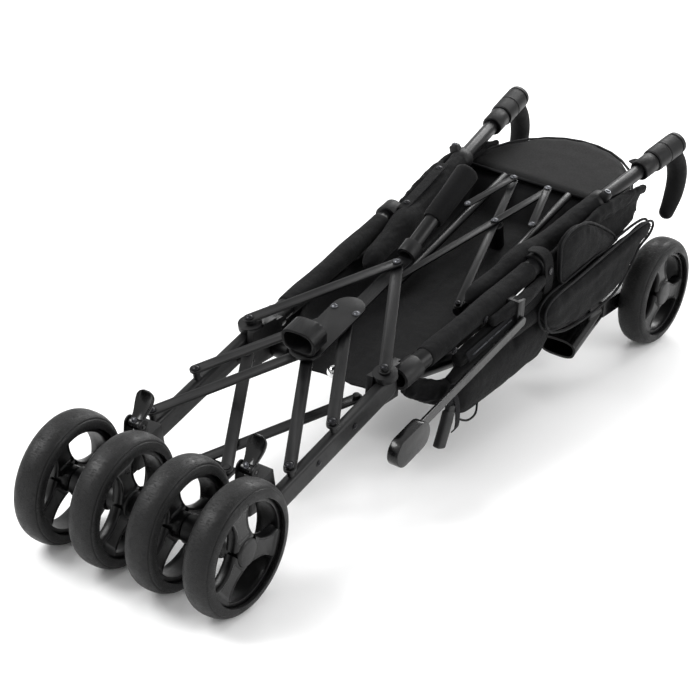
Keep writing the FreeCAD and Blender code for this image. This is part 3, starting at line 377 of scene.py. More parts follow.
def smooth_path(points, steps=6):
    """Points on a smooth curve through the given points."""
    points = [Vector(p) for p in points]
    path = []
    for index in range(len(points) - 1):
        before = points[max(index - 1, 0)]
        here, there = points[index], points[index + 1]
        after = points[min(index + 2, len(points) - 1)]
        path += [curve_point(before, here, there, after, step / steps) for step in range(steps)]
    path.append(points[-1])
    return path


def spread_values(values, count):
    """Values spaced evenly over a number of points."""
    result = []
    for index in range(count):
        place = index / (count - 1) * (len(values) - 1)
        low = min(int(place), len(values) - 2)
        result.append(values[low] + (values[low + 1] - values[low]) * (place - low))
    return result


def tube_faces(rings, sides, closed=False):
    """Faces round a row of rings, which closes on itself or has flat ends."""
    faces = []
    for ring in range(rings if closed else rings - 1):
        below, above = ring * sides, (ring + 1) % rings * sides
        for step in range(sides):
            following = (step + 1) % sides
            faces.append((below + step, below + following, above + following, above + step))
    if not closed:
        faces.append(tuple(reversed(range(sides))))
        faces.append(tuple(range((rings - 1) * sides, rings * sides)))
    return faces


def sheet_faces(rows, columns):
    """Faces of a closed sheet of two grids of points: its front, its back and the edge between them."""
    size = columns + 1
    back = (rows + 1) * size
    faces = []
    for row in range(rows):
        for column in range(columns):
            a = row * size + column
            faces.append((a, a + 1, a + size + 1, a + size))
            faces.append((back + a, back + a + size, back + a + size + 1, back + a + 1))
    loop = list(range(columns + 1)) + [row * size + columns for row in range(1, rows + 1)]
    loop += [rows * size + column for column in range(columns - 1, -1, -1)]
    loop += [row * size for row in range(rows - 1, 0, -1)]
    for index, here in enumerate(loop):
        there = loop[(index + 1) % len(loop)]
        faces.append((here, back + here, back + there, there))
    return faces


def swept(points, widths, heights, side=(1, 0, 0), sides=16, squareness=2.0, rounding=0.0):
    """Verts, faces and run map of a bar of oval or squarish section along a path, with closed ends.

    side is the direction of the section's width; rounding draws in the ends over that many millimetres.
    """
    widths = spread_values(widths, len(points)) if len(widths) != len(points) else list(widths)
    heights = spread_values(heights, len(points)) if len(heights) != len(points) else list(heights)
    rings = []
    for index, point in enumerate(points):
        ahead = points[min(index + 1, len(points) - 1)] - points[max(index - 1, 0)]
        rings.append((point, ahead.normalized(), widths[index], heights[index]))
    if rounding:
        rings = drawn_in(rings, rounding)
    verts, uv = [], []
    run = 0.0
    last = rings[0][0]
    for point, ahead, width, height in rings:
        run += (point - last).length
        last = point
        across = (Vector(side) - ahead * Vector(side).dot(ahead)).normalized()
        up = ahead.cross(across)
        for step in range(sides):
            angle = 2 * math.pi * step / sides
            c, s = math.cos(angle), math.sin(angle)
            x = math.copysign(abs(c) ** (2 / squareness), c) * width
            y = math.copysign(abs(s) ** (2 / squareness), s) * height
            verts.append(point + across * x + up * y)
            uv.append((step / sides, run * MM))
    return verts, tube_faces(len(rings), sides), uv


def drawn_in(rings, rounding):
    """Adds end rings whose size follows a quarter circle."""
    first, last = rings[0], rings[-1]
    start_caps, end_caps = [], []
    for step in range(4):
        angle = math.radians(6 + 21 * step)
        scale, beyond = math.sin(angle), rounding * math.cos(angle)
        start_caps.append((first[0] - first[1] * beyond, first[1], first[2] * scale, first[3] * scale))
        end_caps.insert(0, (last[0] + last[1] * beyond, last[1], last[2] * scale, last[3] * scale))
    return start_caps + rings + end_caps


def revolved(profile, centre, axis, segments=48, ring=False, reference=(0, 0, 1)):
    """Verts, faces and run map of a profile of (distance along the axis, radius) turned about the axis."""
    axis = Vector(axis).normalized()
    across = (Vector(reference) - axis * Vector(reference).dot(axis)).normalized()
    up = axis.cross(across)
    verts, uv = [], []
    length = 0.0
    for index, (reach, radius) in enumerate(profile):
        if index:
            length += math.dist(profile[index], profile[index - 1])
        for step in range(segments):
            angle = 2 * math.pi * step / segments
            outwards = across * math.cos(angle) + up * math.sin(angle)
            verts.append(Vector(centre) + axis * reach + outwards * radius)
            uv.append((step / segments, length * MM))
    return verts, tube_faces(len(profile), segments, closed=ring), uv


def joined(*parts):
    """Several (verts, faces, uv) as one."""
    verts, faces, uv = [], [], []
    for part_verts, part_faces, part_uv in parts:
        offset = len(verts)
        verts += part_verts
        faces += [tuple(index + offset for index in face) for face in part_faces]
        uv += part_uv
    return verts, faces, uv


# ---- repeated pieces made by geometry nodes -------------------------------------------------------
def tree_with(name, numbers):
    """A node tree that takes a mesh, the named numbers and a finish, with the outputs of its input node."""
    tree = bpy.data.node_groups.new(name, "GeometryNodeTree")
    sockets = [("Geometry", "INPUT", "Geometry")]
    sockets += [(number, "INPUT", "Float") for number in numbers]
    sockets += [("Finish", "INPUT", "Material"), ("Geometry", "OUTPUT", "Geometry")]
    for socket_name, way, kind in sockets:
        tree.interface.new_socket(socket_name, in_out=way, socket_type="NodeSocket" + kind)
    return tree, add(tree, "NodeGroupInput").outputs


def scaled(tree, geometry, x, y, z):
    size = add(tree, "ShaderNodeCombineXYZ", None, {"X": x, "Y": y, "Z": z})
    return add(tree, "GeometryNodeTransform", None, {"Geometry": geometry, "Scale": size.outputs["Vector"]})


def laid_out(tree, given, points, instance, direction):
    """Ends a tree: an instance at each point, its Z axis along the direction, in the given finish."""
    turn = add(tree, "FunctionNodeAlignRotationToVector", {"axis": "Z"}, {"Vector": direction})
    laid = add(tree, "GeometryNodeInstanceOnPoints", None, {
        "Points": points, "Instance": instance, "Rotation": turn.outputs["Rotation"]})
    real = add(tree, "GeometryNodeRealizeInstances", None, {"Geometry": laid.outputs["Instances"]})
    painted = add(tree, "GeometryNodeSetMaterial", None, {
        "Geometry": real.outputs["Geometry"], "Material": given["Finish"]})
    add(tree, "NodeGroupOutput", None, {"Geometry": painted.outputs["Geometry"]})
    return tree


def rivet_tree():
    """Domed heads on washers, one at each point, aimed along the point's own direction."""
    tree, given = tree_with("rivet_heads", ("Head radius", "Head height"))
    points = add(tree, "GeometryNodeMeshToPoints", None, {"Mesh": given["Geometry"]})
    dome = add(tree, "GeometryNodeMeshUVSphere", None, {"Segments": 20, "Rings": 10, "Radius": 1.0})
    dome_radius = math_node(tree, "MULTIPLY", given["Head radius"], 0.78)
    dome_set = scaled(tree, dome.outputs["Mesh"], dome_radius, dome_radius, given["Head height"])
    washer = add(tree, "GeometryNodeMeshCylinder", None, {
        "Vertices": 24, "Radius": given["Head radius"],
        "Depth": math_node(tree, "MULTIPLY", given["Head height"], 0.6)})
    head = add(tree, "GeometryNodeJoinGeometry")
    tree.links.new(dome_set.outputs["Geometry"], head.inputs["Geometry"])
    tree.links.new(washer.outputs["Mesh"], head.inputs["Geometry"])
    aim = add(tree, "GeometryNodeInputNamedAttribute", {"data_type": "FLOAT_VECTOR"}, {"Name": "aim"})
    return laid_out(tree, given, points.outputs["Points"], head.outputs["Geometry"], aim.outputs["Attribute"])


def stitch_tree():
    """Short rounded stitches laid end to end along a line."""
    tree, given = tree_with("stitch_line", ("Pitch", "Thread radius"))
    line = add(tree, "GeometryNodeMeshToCurve", None, {"Mesh": given["Geometry"]})
    even = add(tree, "GeometryNodeResampleCurve", {"mode": "LENGTH"},
               {"Curve": line.outputs["Curve"], "Length": given["Pitch"]})
    stitch = add(tree, "GeometryNodeMeshIcoSphere", None, {"Radius": 1.0, "Subdivisions": 2})
    shaped = scaled(tree, stitch.outputs["Mesh"], given["Thread radius"], given["Thread radius"],
                    math_node(tree, "MULTIPLY", given["Pitch"], 0.36))
    tangent = add(tree, "GeometryNodeInputTangent")
    return laid_out(tree, given, even.outputs["Curve"], shaped.outputs["Geometry"],
                    tangent.outputs["Tangent"])


RIVETS = rivet_tree()
STITCHES = stitch_tree()


def from_tree(name, mesh, tree, values, finish, body):
    """Runs a node tree on a mesh and keeps the result as a plain piece."""
    item = show(name, mesh)
    modifier = item.modifiers.new("build", "NODES")
    modifier.node_group = tree
    values = dict(values, Finish=MATERIALS[finish])
    for socket in tree.interface.items_tree:
        if socket.in_out == "INPUT" and socket.name in values:
            modifier[socket.identifier] = values[socket.name]
    baked(item)
    shade(item.data, 45)
    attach(item, body)
    return item


def rivets(name, spots, radius, height, finish, body):
    """Rivet heads at (place in mm, direction) spots."""
    mesh = bpy.data.meshes.new(name)
    mesh.from_pydata([at(spot) for spot, _ in spots], [], [])
    aims = mesh.attributes.new("aim", "FLOAT_VECTOR", "POINT")
    for index, (_, direction) in enumerate(spots):
        aims.data[index].vector = Vector(direction).normalized()
    values = {"Head radius": radius * MM, "Head height": height * MM}
    return from_tree(name, mesh, RIVETS, values, finish, body)


def stitches(name, lines, body, finish="piping", pitch=3.4, thread=0.45):
    """Rows of stitches along smooth lines of points in mm."""
    verts, edges = [], []
    for line in lines:
        offset = len(verts)
        verts += [at(point) for point in line]
        edges += [(offset + index, offset + index + 1) for index in range(len(line) - 1)]
    mesh = bpy.data.meshes.new(name)
    mesh.from_pydata(verts, edges, [])
    return from_tree(name, mesh, STITCHES, {"Pitch": pitch * MM, "Thread radius": thread * MM}, finish, body)


# ---- wheels -----------------------------------------------------------------------------------------
WHEEL_AXIS = (1, 0, 0)
TYRE_HALF_WIDTH, TYRE_DEPTH = 18.3, 15
# moulded grooves: share of the way round the tread, half width as a share, depth in mm
TYRE_GROOVES = ((0.2, 0.012, 0.5), (0.8, 0.012, 0.5), (0.36, 0.01, 0.35), (0.64, 0.01, 0.35))


def tyre(name, centre, radius, body, node):
    """An EVA tyre: a full round tread with two fine grooves on each shoulder."""
    half, seat = TYRE_HALF_WIDTH, radius - TYRE_DEPTH
    profile = []
    steps = 40
    for step in range(steps + 1):
        angle = math.pi * step / steps
        c, s = math.cos(angle), math.sin(angle)
        reach = -math.copysign(abs(c) ** 0.82, c) * half
        height = seat + TYRE_DEPTH * abs(s) ** 0.78
        share = step / steps
        for groove, width, depth in TYRE_GROOVES:
            gap = abs(share - groove) / width
            if gap < 1:
                height -= depth * (1 - gap)
                reach *= 1 - depth * (1 - gap) / half
        profile.append((reach, height))
    profile += [(half - 2.5, seat - 0.4), (half - 4.2, seat + 0.6),
                (-half + 4.2, seat + 0.6), (-half + 2.5, seat - 0.4)]
    verts, faces, uv = revolved(profile, centre, WHEEL_AXIS, 112, ring=True)
    return piece(name, verts, faces, "tyre", body, (node,), uv, smooth=50)


def spoke_block(centre, turn, inner, outer, waist, flare_out, flare_in, thick, groove):
    """One moulded spoke with waisted sides, rounded edges and a sunk panel along its middle."""
    rows, columns = 26, 22
    verts = []
    for face_side in (1, -1):
        for row in range(rows + 1):
            share = row / rows
            reach = inner + (outer - inner) * share
            half = waist + flare_out * share ** 3.2 + flare_in * (1 - share) ** 3
            for column in range(columns + 1):
                across = -1 + 2 * column / columns
                across = math.copysign(abs(across) ** 0.75, across)
                edge = (1 - abs(across) ** 7) ** 0.5 if abs(across) < 1 else 0.0
                margin = min((1 - abs(across)) * half, (share - 0.06) * 40, (0.93 - share) * 40)
                sunk = groove * min(max((margin - 2.2) / 1.4, 0), 1)
                rise = thick / 2 * (0.35 + 0.65 * edge) - sunk
                local = Vector((face_side * rise, 0, 0))
                local += Vector((0, math.sin(turn), math.cos(turn))) * reach
                local += Vector((0, math.cos(turn), -math.sin(turn))) * (across * half)
                verts.append(Vector(centre) + local)
    return verts, sheet_faces(rows, columns), [(0.0, 0.0)] * len(verts)


SPOKES, SPOKE_START, SPOKE_OUTSET = 3, math.radians(-16), 6.2


def rim(name, centre, radius, body, node, waist, groove, away):
    """A three-spoke moulded wheel: lipped band, waisted spokes flush with the side away from the leg, and a
    hub that is closed on that side."""
    seat = radius - TYRE_DEPTH
    band = [(-13.2, seat - 5), (-13.5, seat - 1.2), (-12.8, seat), (-11.2, seat), (-10.6, seat - 1.0),
            (10.6, seat - 1.0), (11.2, seat), (12.8, seat), (13.5, seat - 1.2), (13.2, seat - 5),
            (12.0, seat - 5.6), (6, seat - 4.6), (-6, seat - 4.6), (-12.0, seat - 5.6)]
    hub = [(-14, 5.2), (-14, 9.5), (-13.4, 10.2), (-12, 10.4), (-12, 13.2), (-11.2, 14.4), (-8, 15), (8, 15),
           (11.2, 14.4), (12, 13.2), (12, 10.4), (13.4, 10.2), (14, 9.5), (14, 5.2)]
    parts = [revolved(band, centre, WHEEL_AXIS, 96, ring=True),
             revolved(hub, centre, WHEEL_AXIS, 48, ring=True)]
    middle = Vector(centre) + Vector((away * SPOKE_OUTSET, 0, 0))
    for spoke in range(SPOKES):
        turn = math.radians(360 / SPOKES * spoke) + SPOKE_START
        parts.append(spoke_block(middle, turn, 11.5, seat - 3.5, waist, 10.5, 7.5, 15.5, groove))
    cover = [(9, 16.4), (14.2, 16.2), (15.6, 15.0), (16.3, 12.0), (16.5, 0.05), (15.9, 0.05), (15.7, 11.0),
             (9, 11.1)]
    cover = [(away * reach, height) for reach, height in cover]
    parts.append(revolved(cover, centre, WHEEL_AXIS, 48, ring=True))
    verts, faces, _ = joined(*parts)
    return piece(name, verts, faces, "rim", body, (node,), smooth=42)


REAR_RADIUS, FRONT_RADIUS = 75, 70
REAR_LEG_X, TWIN_OFFSET = 74, 37
FRONT_WHEEL_X, FRONT_WHEEL_Y = 137, 858
for side_name, side in SIDES.items():
    for place_name, outwards in (("inner", -1), ("outer", 1)):
        stem = f"rear_wheel_{side_name}_{place_name}"
        centre = (side * (REAR_LEG_X + outwards * TWIN_OFFSET), 0, REAR_RADIUS)
        body = f"wheel_{side_name}_{place_name}"
        tyre(stem + "_tread", centre, REAR_RADIUS, body, stem + "_tyre")
        rim(stem + "_moulding", centre, REAR_RADIUS, body, stem + "_rim", 9.5, 1.6, outwards * side)
    stem = f"front_wheel_{side_name}"
    centre = (side * FRONT_WHEEL_X, FRONT_WHEEL_Y, FRONT_RADIUS)
    tyre(stem + "_tread", centre, FRONT_RADIUS, stem + "_body", stem + "_tyre")
    rim(stem + "_moulding", centre, FRONT_RADIUS, stem + "_body", stem + "_rim", 8.5, 1.8, side)

# ---- frame: the CAD's own steel and moulded pieces, with rounded edges --------------------------------
def sink_caps(item, inner, outer):
    """Presses the axle caps down, outside this span of distances from the midplane."""
    for vertex in item.data.vertices:
        reach = abs(vertex.co.x) / MM
        sunk = max(reach - outer, 0) - max(inner - reach, 0)
        vertex.co.x -= math.copysign(0.85 * sunk * MM, vertex.co.x)


for side_name in SIDES:
    body = f"side_{side_name}"
    sink_caps(polished(f"rear_housing_{side_name}", "plastic", body, 1.5), 22.5, 125.5)
    for stem, finish, bevel in (
            ("rear_leg", "bar", 0.6), ("side_joint", "plastic", 1.6), ("rail", "tube", 0.5),
            ("rail_clamp", "plastic", 1.8), ("handle_tube", "tube", 0.4), ("collar", "plastic", 1.2)):
        polished(f"{stem}_{side_name}", finish, body, bevel)
    polished(f"front_leg_{side_name}", "tube", f"front_{side_name}", 0.5)
    sink_caps(polished(f"front_fork_{side_name}", "gloss", f"front_{side_name}", 1.2), 0, 151.5)
    for stem in ("upper_bar", "middle_bar", "lower_bar", "strut"):
        polished(f"{stem}_{side_name}", "bar", f"{stem}_{side_name}_body", 0.6)
    polished(f"cross_bar_{side_name}", "bar", f"cross_{side_name}", 0.5)
    polished(f"seat_tube_{side_name}", "tube", f"seat_{side_name}", 0.4)
    polished(f"short_link_{side_name}", "bar", f"link_{side_name}", 0.5)
for node, finish, body, bevel in (
        ("strut_block", "plastic", "strut_block_body", 1.2), ("spine_bar", "plastic", "spine", 0.8),
        ("spine_pins", "steel", "spine", 0.4), ("hub_plate", "bar", "spine", 0.7),
        ("lever_cup", "plastic", "lever", 0.8), ("centre_tube", "tube", "spine", 0.5),
        ("seat_post", "plastic", "spine", 0.8), ("canopy_arm", "gloss", "canopy_arm_body", 3.2)):
    polished(node, finish, body, bevel)

# rivet heads on every pivot
STACK_TOP = 9.0
SEAT_ANGLE = math.radians(16.2)
SEAT_TUBE_LOW, SEAT_TUBE_TOP = -165, 88.6
upper_along, lower_along = along_at(195), along_at(118)
for side_name, side in SIDES.items():
    spots = [(in_plane(side * HALF_TRACK, along, STACK_TOP), SCISSOR_NORMAL)
             for along in (0, upper_along, lower_along)]
    rivets(f"frame_rivets_{side_name}", spots, 5.2, 2.0, "rivet", f"side_{side_name}")
    outer = [((side * (HALF_TRACK + 7.1), place, height), (side, 0, 0))
             for place, height in ((162, 100), (228, 118))]
    rivets(f"leg_screws_{side_name}", outer, 4.0, 1.8, "rivet", f"side_{side_name}")
    low, top = [(side * abs(reach) * math.sin(SEAT_ANGLE), reach * math.cos(SEAT_ANGLE))
                for reach in (SEAT_TUBE_LOW, SEAT_TUBE_TOP)]
    rivets(f"seat_rivet_{side_name}", [(in_plane(*low, 6.2, SEAT_CROSS), SCISSOR_NORMAL)], 4.0, 1.5, "rivet",
           f"seat_{side_name}")
    rivets(f"link_rivet_{side_name}", [
        (in_plane(*top, 8.8, SEAT_CROSS), SCISSOR_NORMAL),
        (in_plane(side * 46, 11.7, 8.8, SEAT_CROSS), SCISSOR_NORMAL)], 4.0, 1.5, "steel", f"link_{side_name}")
rivets("spine_rivets", [(in_plane(0, BAR_REACH, 9.3), SCISSOR_NORMAL),
                        (in_plane(15, upper_along + BAR_REACH - 4, 12.3), SCISSOR_NORMAL),
                        (in_plane(-15, upper_along + BAR_REACH - 4, 12.3), SCISSOR_NORMAL),
                        (in_plane(0, 0, 6.2, SEAT_CROSS), SCISSOR_NORMAL)], 4.6, 1.9, "steel", "spine")
rivets("rail_bolts", [((105.4 + 11 * 0.94, 400, 152.6 - 3), (0.94, 0, -0.3)),
                      ((102.4 + 11 * 0.94, 470, 165 - 3), (0.94, 0, -0.3))], 4.5, 2.4, "rivet", "side_right")

# ---- brake pedals -------------------------------------------------------------------------------------
PEDAL_LEAN = math.radians(33)
PEDAL_PIVOT_Y, PEDAL_PIVOT_Z, PEDAL_LENGTH = 66, 125, 43


def pedal(name, side, body, node):
    """A scooped, spoon-shaped foot pedal with a raised lip and a pivot boss."""
    rows, columns = 22, 14
    lean = PEDAL_LEAN
    climb = Vector((0, math.sin(lean), math.cos(lean)))
    face = Vector((0, -math.cos(lean), math.sin(lean)))
    root = Vector((side * REAR_LEG_X, PEDAL_PIVOT_Y, PEDAL_PIVOT_Z))
    verts = []
    for layer in (1, -1):
        for row in range(rows + 1):
            share = row / rows
            reach = PEDAL_LENGTH * share - 5
            half = 8.3 + 3.6 * ease((share - 0.25) / 0.5)
            if share > 0.8:
                half *= math.sqrt(max(1 - ((share - 0.8) / 0.205) ** 2, 0.02))
            bow = 2.6 * math.sin(math.pi * share) - 1.5 - 1.5 * share
            for column in range(columns + 1):
                across = -1 + 2 * column / columns
                hollow = 3.4 * (1 - across ** 2) * math.sin(math.pi * min(max(share * 1.05, 0), 1)) ** 0.7
                lip = 0.9 if layer > 0 and abs(across) > 0.85 else 0.0
                depth = (1.4 * layer) - bow - (hollow if layer > 0 else hollow * 0.8) + lip
                verts.append(root + climb * reach + Vector((across * half, 0, 0)) + face * depth)
    boss = [(-8.4, 3.0), (-8.4, 5.4), (-7.6, 6.0), (7.6, 6.0), (8.4, 5.4), (8.4, 3.0)]
    pin = [(-11.2, 0.5), (-11.2, 2.6), (-10.8, 3.0), (10.8, 3.0), (11.2, 2.6), (11.2, 0.5)]
    verts, faces, _ = joined((verts, sheet_faces(rows, columns), [(0, 0)] * len(verts)),
                             revolved(boss, root, WHEEL_AXIS, 32), revolved(pin, root, WHEEL_AXIS, 24))
    item = piece(name, verts, faces, "gloss", body, (node,), smooth=50)
    modifier = item.modifiers.new("smooth", "SUBSURF")
    modifier.levels = modifier.render_levels = 1


for side_name, side in SIDES.items():
    pedal(f"pedal_scoop_{side_name}", side, f"pedal_{side_name}", f"brake_pedal_{side_name}")
    rivets(f"pedal_screw_{side_name}", [((side * REAR_LEG_X, 62.6, 131), (0, -0.84, 0.54))], 3.4, 1.6,
           "steel", f"pedal_{side_name}")

# ---- grips ------------------------------------------------------------------------------------------------
GRIP_START, GRIP_DROP, GRIP_BULGE = 363.5, 95, 22


def grip(side_name, side):
    """A moulded barrel with an end cap and a groove, and a foam grip that curves down from it."""
    line = handle_line(side)
    base = on_handle(side, GRIP_START)
    body = f"grip_{side_name}_body"
    profile = [(0.2, 9.2), (0.2, 13.2), (1.4, 14.6), (6, 15), (22, 15), (23, 14.2), (24.4, 14.2), (25.4, 15),
               (47, 15), (48, 13.6), (49.6, 13.6), (50.6, 14.9), (55.5, 14.2), (57.4, 11.5), (58, 8),
               (57.6, 5), (31, 5), (31, 9.2)]
    verts, faces, uv = revolved(profile, base, line, 56)
    down = line.cross(Vector((1, 0, 0))).normalized()
    path, widths, heights = [], [], []
    for step in range(33):
        share = step / 32
        drop = GRIP_DROP * share
        bulge = GRIP_BULGE * (1 - (2 * share - 1) ** 2)
        path.append(base + line * (36 + bulge) + down * drop)
        swell = 11.6 + 1.1 * math.sin(math.pi * min(share * 1.25, 1)) - 2.2 * max(share - 0.8, 0) / 0.2
        widths.append(swell)
        heights.append(swell * 0.98)
    handle = swept(path, widths, heights, (1, 0, 0), 28, 2.2, rounding=9)
    piece(f"grip_barrel_{side_name}", verts, faces, "plastic", body, (), uv, smooth=35)
    piece(f"grip_foam_{side_name}", *handle[:2], "foam", body, (f"grip_{side_name}",), handle[2], smooth=60)


for side_name, side in SIDES.items():
    grip(side_name, side)

# ---- soft goods ---------------------------------------------------------------------------------------
CLOTH_FRAMES = 20


def puffed(item, voxel_mm, pressure, cap_mm):
    """Remeshes a closed form and lets cloth pressure swell it, with no point moving further than the cap."""
    item.data.remesh_voxel_size = voxel_mm * MM
    bpy.context.view_layer.objects.active = item
    item.select_set(True)
    bpy.ops.object.voxel_remesh()
    rest = [vertex.co.copy() for vertex in item.data.vertices]
    cloth = item.modifiers.new("cloth", "CLOTH")
    cloth.settings.quality = 5
    cloth.settings.mass = 0.2
    cloth.settings.tension_stiffness = 25
    cloth.settings.compression_stiffness = 25
    cloth.settings.bending_stiffness = 0.6
    cloth.settings.use_pressure = True
    cloth.settings.uniform_pressure_force = pressure
    cloth.settings.effector_weights.gravity = 0
    for number in range(1, CLOTH_FRAMES + 1):
        bpy.context.scene.frame_set(number)
    baked(item)
    bpy.context.scene.frame_set(1)
    cap = cap_mm * MM
    for vertex, before in zip(item.data.vertices, rest):
        move = vertex.co - before
        if move.length > cap:
            vertex.co = before + move * (cap / move.length)
    item.select_set(False)
    return item


def creased(item, stretch, size_mm, depth_mm, seed, hold=None):
    """Pushes a soft piece's skin in and out with long creases, whose depth hold may set from the place."""
    shift = Vector((seed * 3.7, seed * 1.3, seed * 2.1))
    normals = [vertex.normal.copy() for vertex in item.data.vertices]
    for vertex, normal in zip(item.data.vertices, normals):
        sample = Vector([vertex.co[axis] * stretch[axis] / (size_mm * MM) for axis in range(3)]) + shift
        wave = noise.fractal(sample, 1.0, 2.1, 3)
        sharp = -abs(noise.noise(sample * 1.7)) * 1.2 + 0.3
        amount = 0.6 * wave + 0.6 * sharp
        if hold:
            amount *= hold(vertex.co)
        vertex.co += normal * (amount * depth_mm * MM)
    item.data.shade_smooth()
    return item


def refine(item, levels=1):
    modifier = item.modifiers.new("smooth", "SUBSURF")
    modifier.levels = modifier.render_levels = levels
    baked(item)
    item.data.shade_smooth()
    return item


def dress(item, finish, body, replaced=()):
    """Gives a shaped soft piece its finish, its body and the nodes it stands for."""
    paint(item.data, finish)
    if replaced:
        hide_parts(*replaced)
    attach(item, body)
    return item


def slab(name, outline, place, inner, outer):
    """A closed prism from a smooth outline; place turns (a, b, depth) into millimetres."""
    count = len(outline)
    verts = [place(a, b, inner) for a, b in outline] + [place(a, b, outer) for a, b in outline]
    faces = [tuple(range(count)), tuple(range(2 * count - 1, count - 1, -1))]
    for index in range(count):
        following = (index + 1) % count
        faces.append((index, index + count, following + count, following))
    mesh = bpy.data.meshes.new(name)
    mesh.from_pydata([at(v) for v in verts], [], faces)
    build = bmesh.new()
    build.from_mesh(mesh)
    bmesh.ops.recalc_face_normals(build, faces=build.faces)
    bmesh.ops.triangulate(build, faces=[f for f in build.faces if len(f.verts) > 4])
    build.to_mesh(mesh)
    build.free()
    return show(name, mesh)


def closed_curve(corners, steps=8):
    """A smooth closed outline through the corners."""
    count = len(corners)
    result = []
    for index in range(count):
        before, here = Vector(corners[index - 1]), Vector(corners[index])
        there, after = Vector(corners[(index + 1) % count]), Vector(corners[(index + 2) % count])
        result += [curve_point(before, here, there, after, step / steps) for step in range(steps)]
    return result


def inset(outline, distance):
    """The outline moved inwards along its own normals."""
    count = len(outline)
    area = sum(outline[i - 1][0] * outline[i][1] - outline[i][0] * outline[i - 1][1] for i in range(count))
    turn = 1 if area > 0 else -1
    result = []
    for index in range(count):
        ahead = (outline[(index + 1) % count] - outline[index - 1]).normalized()
        result.append(outline[index] + Vector((-ahead[1], ahead[0])) * (turn * distance))
    return result


def ring_sweep(path, radius, sides=8):
    """A closed round welt along a closed path."""
    count = len(path)
    verts, uv = [], []
    run = 0.0
    for index, point in enumerate(path):
        ahead = (path[(index + 1) % count] - path[index - 1]).normalized()
        reference = Vector((1, 0, 0)) if abs(ahead.x) < 0.8 else Vector((0, 0, 1))
        across = (reference - ahead * reference.dot(ahead)).normalized()
        up = ahead.cross(across)
        run += (point - path[index - 1]).length if index else 0
        for step in range(sides):
            angle = 2 * math.pi * step / sides
            verts.append(point + (across * math.cos(angle) + up * math.sin(angle)) * radius)
            uv.append((step / sides, run * MM))
    return verts, tube_faces(count, sides, closed=True), uv


def snap(name, centre, direction, body, radius=5.0):
    """A press stud: a domed cap with a rolled rim."""
    profile = [(-1.2, radius * 0.8), (0.2, radius), (1.1, radius * 0.97), (1.6, radius * 0.82),
               (1.3, radius * 0.66), (1.0, radius * 0.5), (1.25, radius * 0.3), (1.3, 0.05)]
    verts, faces, uv = revolved(profile, centre, direction, 28, reference=(0, 0.3, 1))
    return piece(name, verts, faces, "rivet", body, (), uv, smooth=50)


# the quilted side flap: a stuffed panel with piping round both edges and a rounded end
FLAP_FACE, FLAP_BACK = 137.0, 123.0
flap_outline = closed_curve([(574, 134), (582, 116), (600, 104), (640, 95), (700, 95), (752, 103), (785, 124),
                             (806, 146), (830, 156), (838, 168), (824, 177), (786, 177), (720, 169),
                             (650, 160), (600, 154), (579, 146)])


def flap_place(along, up, depth):
    return (depth, along, up)


flap = slab("side_flap_pad", inset(flap_outline, 2.0), flap_place, FLAP_BACK + 2.5, FLAP_FACE - 3.5)
puffed(flap, 4.2, 4.0, 5.0)
creased(flap, (1, 0.4, 1.5), 30, 3.4, 3)
refine(flap)
dress(flap, "cloth", "side_right", ("side_flap",))


def on_side(outline, distance, depth):
    """The outline, drawn in by a distance, at a depth on the cabin's side."""
    return [Vector(flap_place(along, up, depth)) for along, up in inset(outline, distance)]


verts, faces, uv = joined(*[ring_sweep(on_side(flap_outline, 0.6, depth), 1.7)
                            for depth in (FLAP_BACK + 2.2, FLAP_FACE - 3.2)])
piece("side_flap_piping", verts, faces, "piping", "side_right", (), uv, smooth=0)
stitches("side_flap_stitches", [on_side(flap_outline, 8.0, FLAP_FACE - 2.4)[16:100],
                                on_side(flap_outline, 17.0, FLAP_FACE - 1.6)[20:96]], "side_right")
snap("side_flap_snap", (FLAP_FACE - 1.2, 800, 160), (1, 0, 0), "side_right")

# the cabin's rolled side: a bolster of soft cloth with drawn-in ends
ROLL_Y, ROLL_END, ROLL_X = 410, 622, 114.5
roll_rings = []
for index in range(24):
    share = index / 23
    pull = 1 - 0.42 * math.exp(-share / 0.05) - 0.35 * math.exp(-(1 - share) / 0.05)
    centre = Vector((ROLL_X - 5 * share, ROLL_Y + (ROLL_END - ROLL_Y) * share, 87 + 6 * share))
    roll_rings.append((centre, (14 - 5 * share) * pull, 31 * pull))
verts, faces, uv = swept([ring[0] for ring in roll_rings], [ring[1] for ring in roll_rings],
                         [ring[2] for ring in roll_rings], (1, 0, 0), 28, 2.3, rounding=5)
roll = piece("cabin_roll_bolster", verts, faces, None, None)
puffed(roll, 4.5, 3.5, 5.0)


def roll_hold(place):
    """Deep gathers at the drawn-in ends and a nearly smooth middle."""
    along = (place.y - AXLE_Y) / MM
    ends = math.exp(-max(along - ROLL_Y, 0) / 26) + math.exp(-max(ROLL_END - along, 0) / 26)
    return 0.3 + 1.5 * ends


creased(roll, (2.2, 0.5, 2.2), 24, 2.2, 5, roll_hold)
refine(roll)
dress(roll, "cloth", "side_right", ("cabin_roll",))


def strip(name, points, width, thick, body, finish="webbing", side=(1, 0, 0), rounding=1.5, squareness=5.0):
    """A flat strap of webbing or folded cloth along a path, given in mm."""
    path = smooth_path(points, 8)
    widths, heights = [width / 2] * len(path), [thick / 2] * len(path)
    verts, faces, uv = swept(path, widths, heights, side, 16, squareness, rounding)
    return piece(name, verts, faces, finish, body, (), uv, smooth=40)


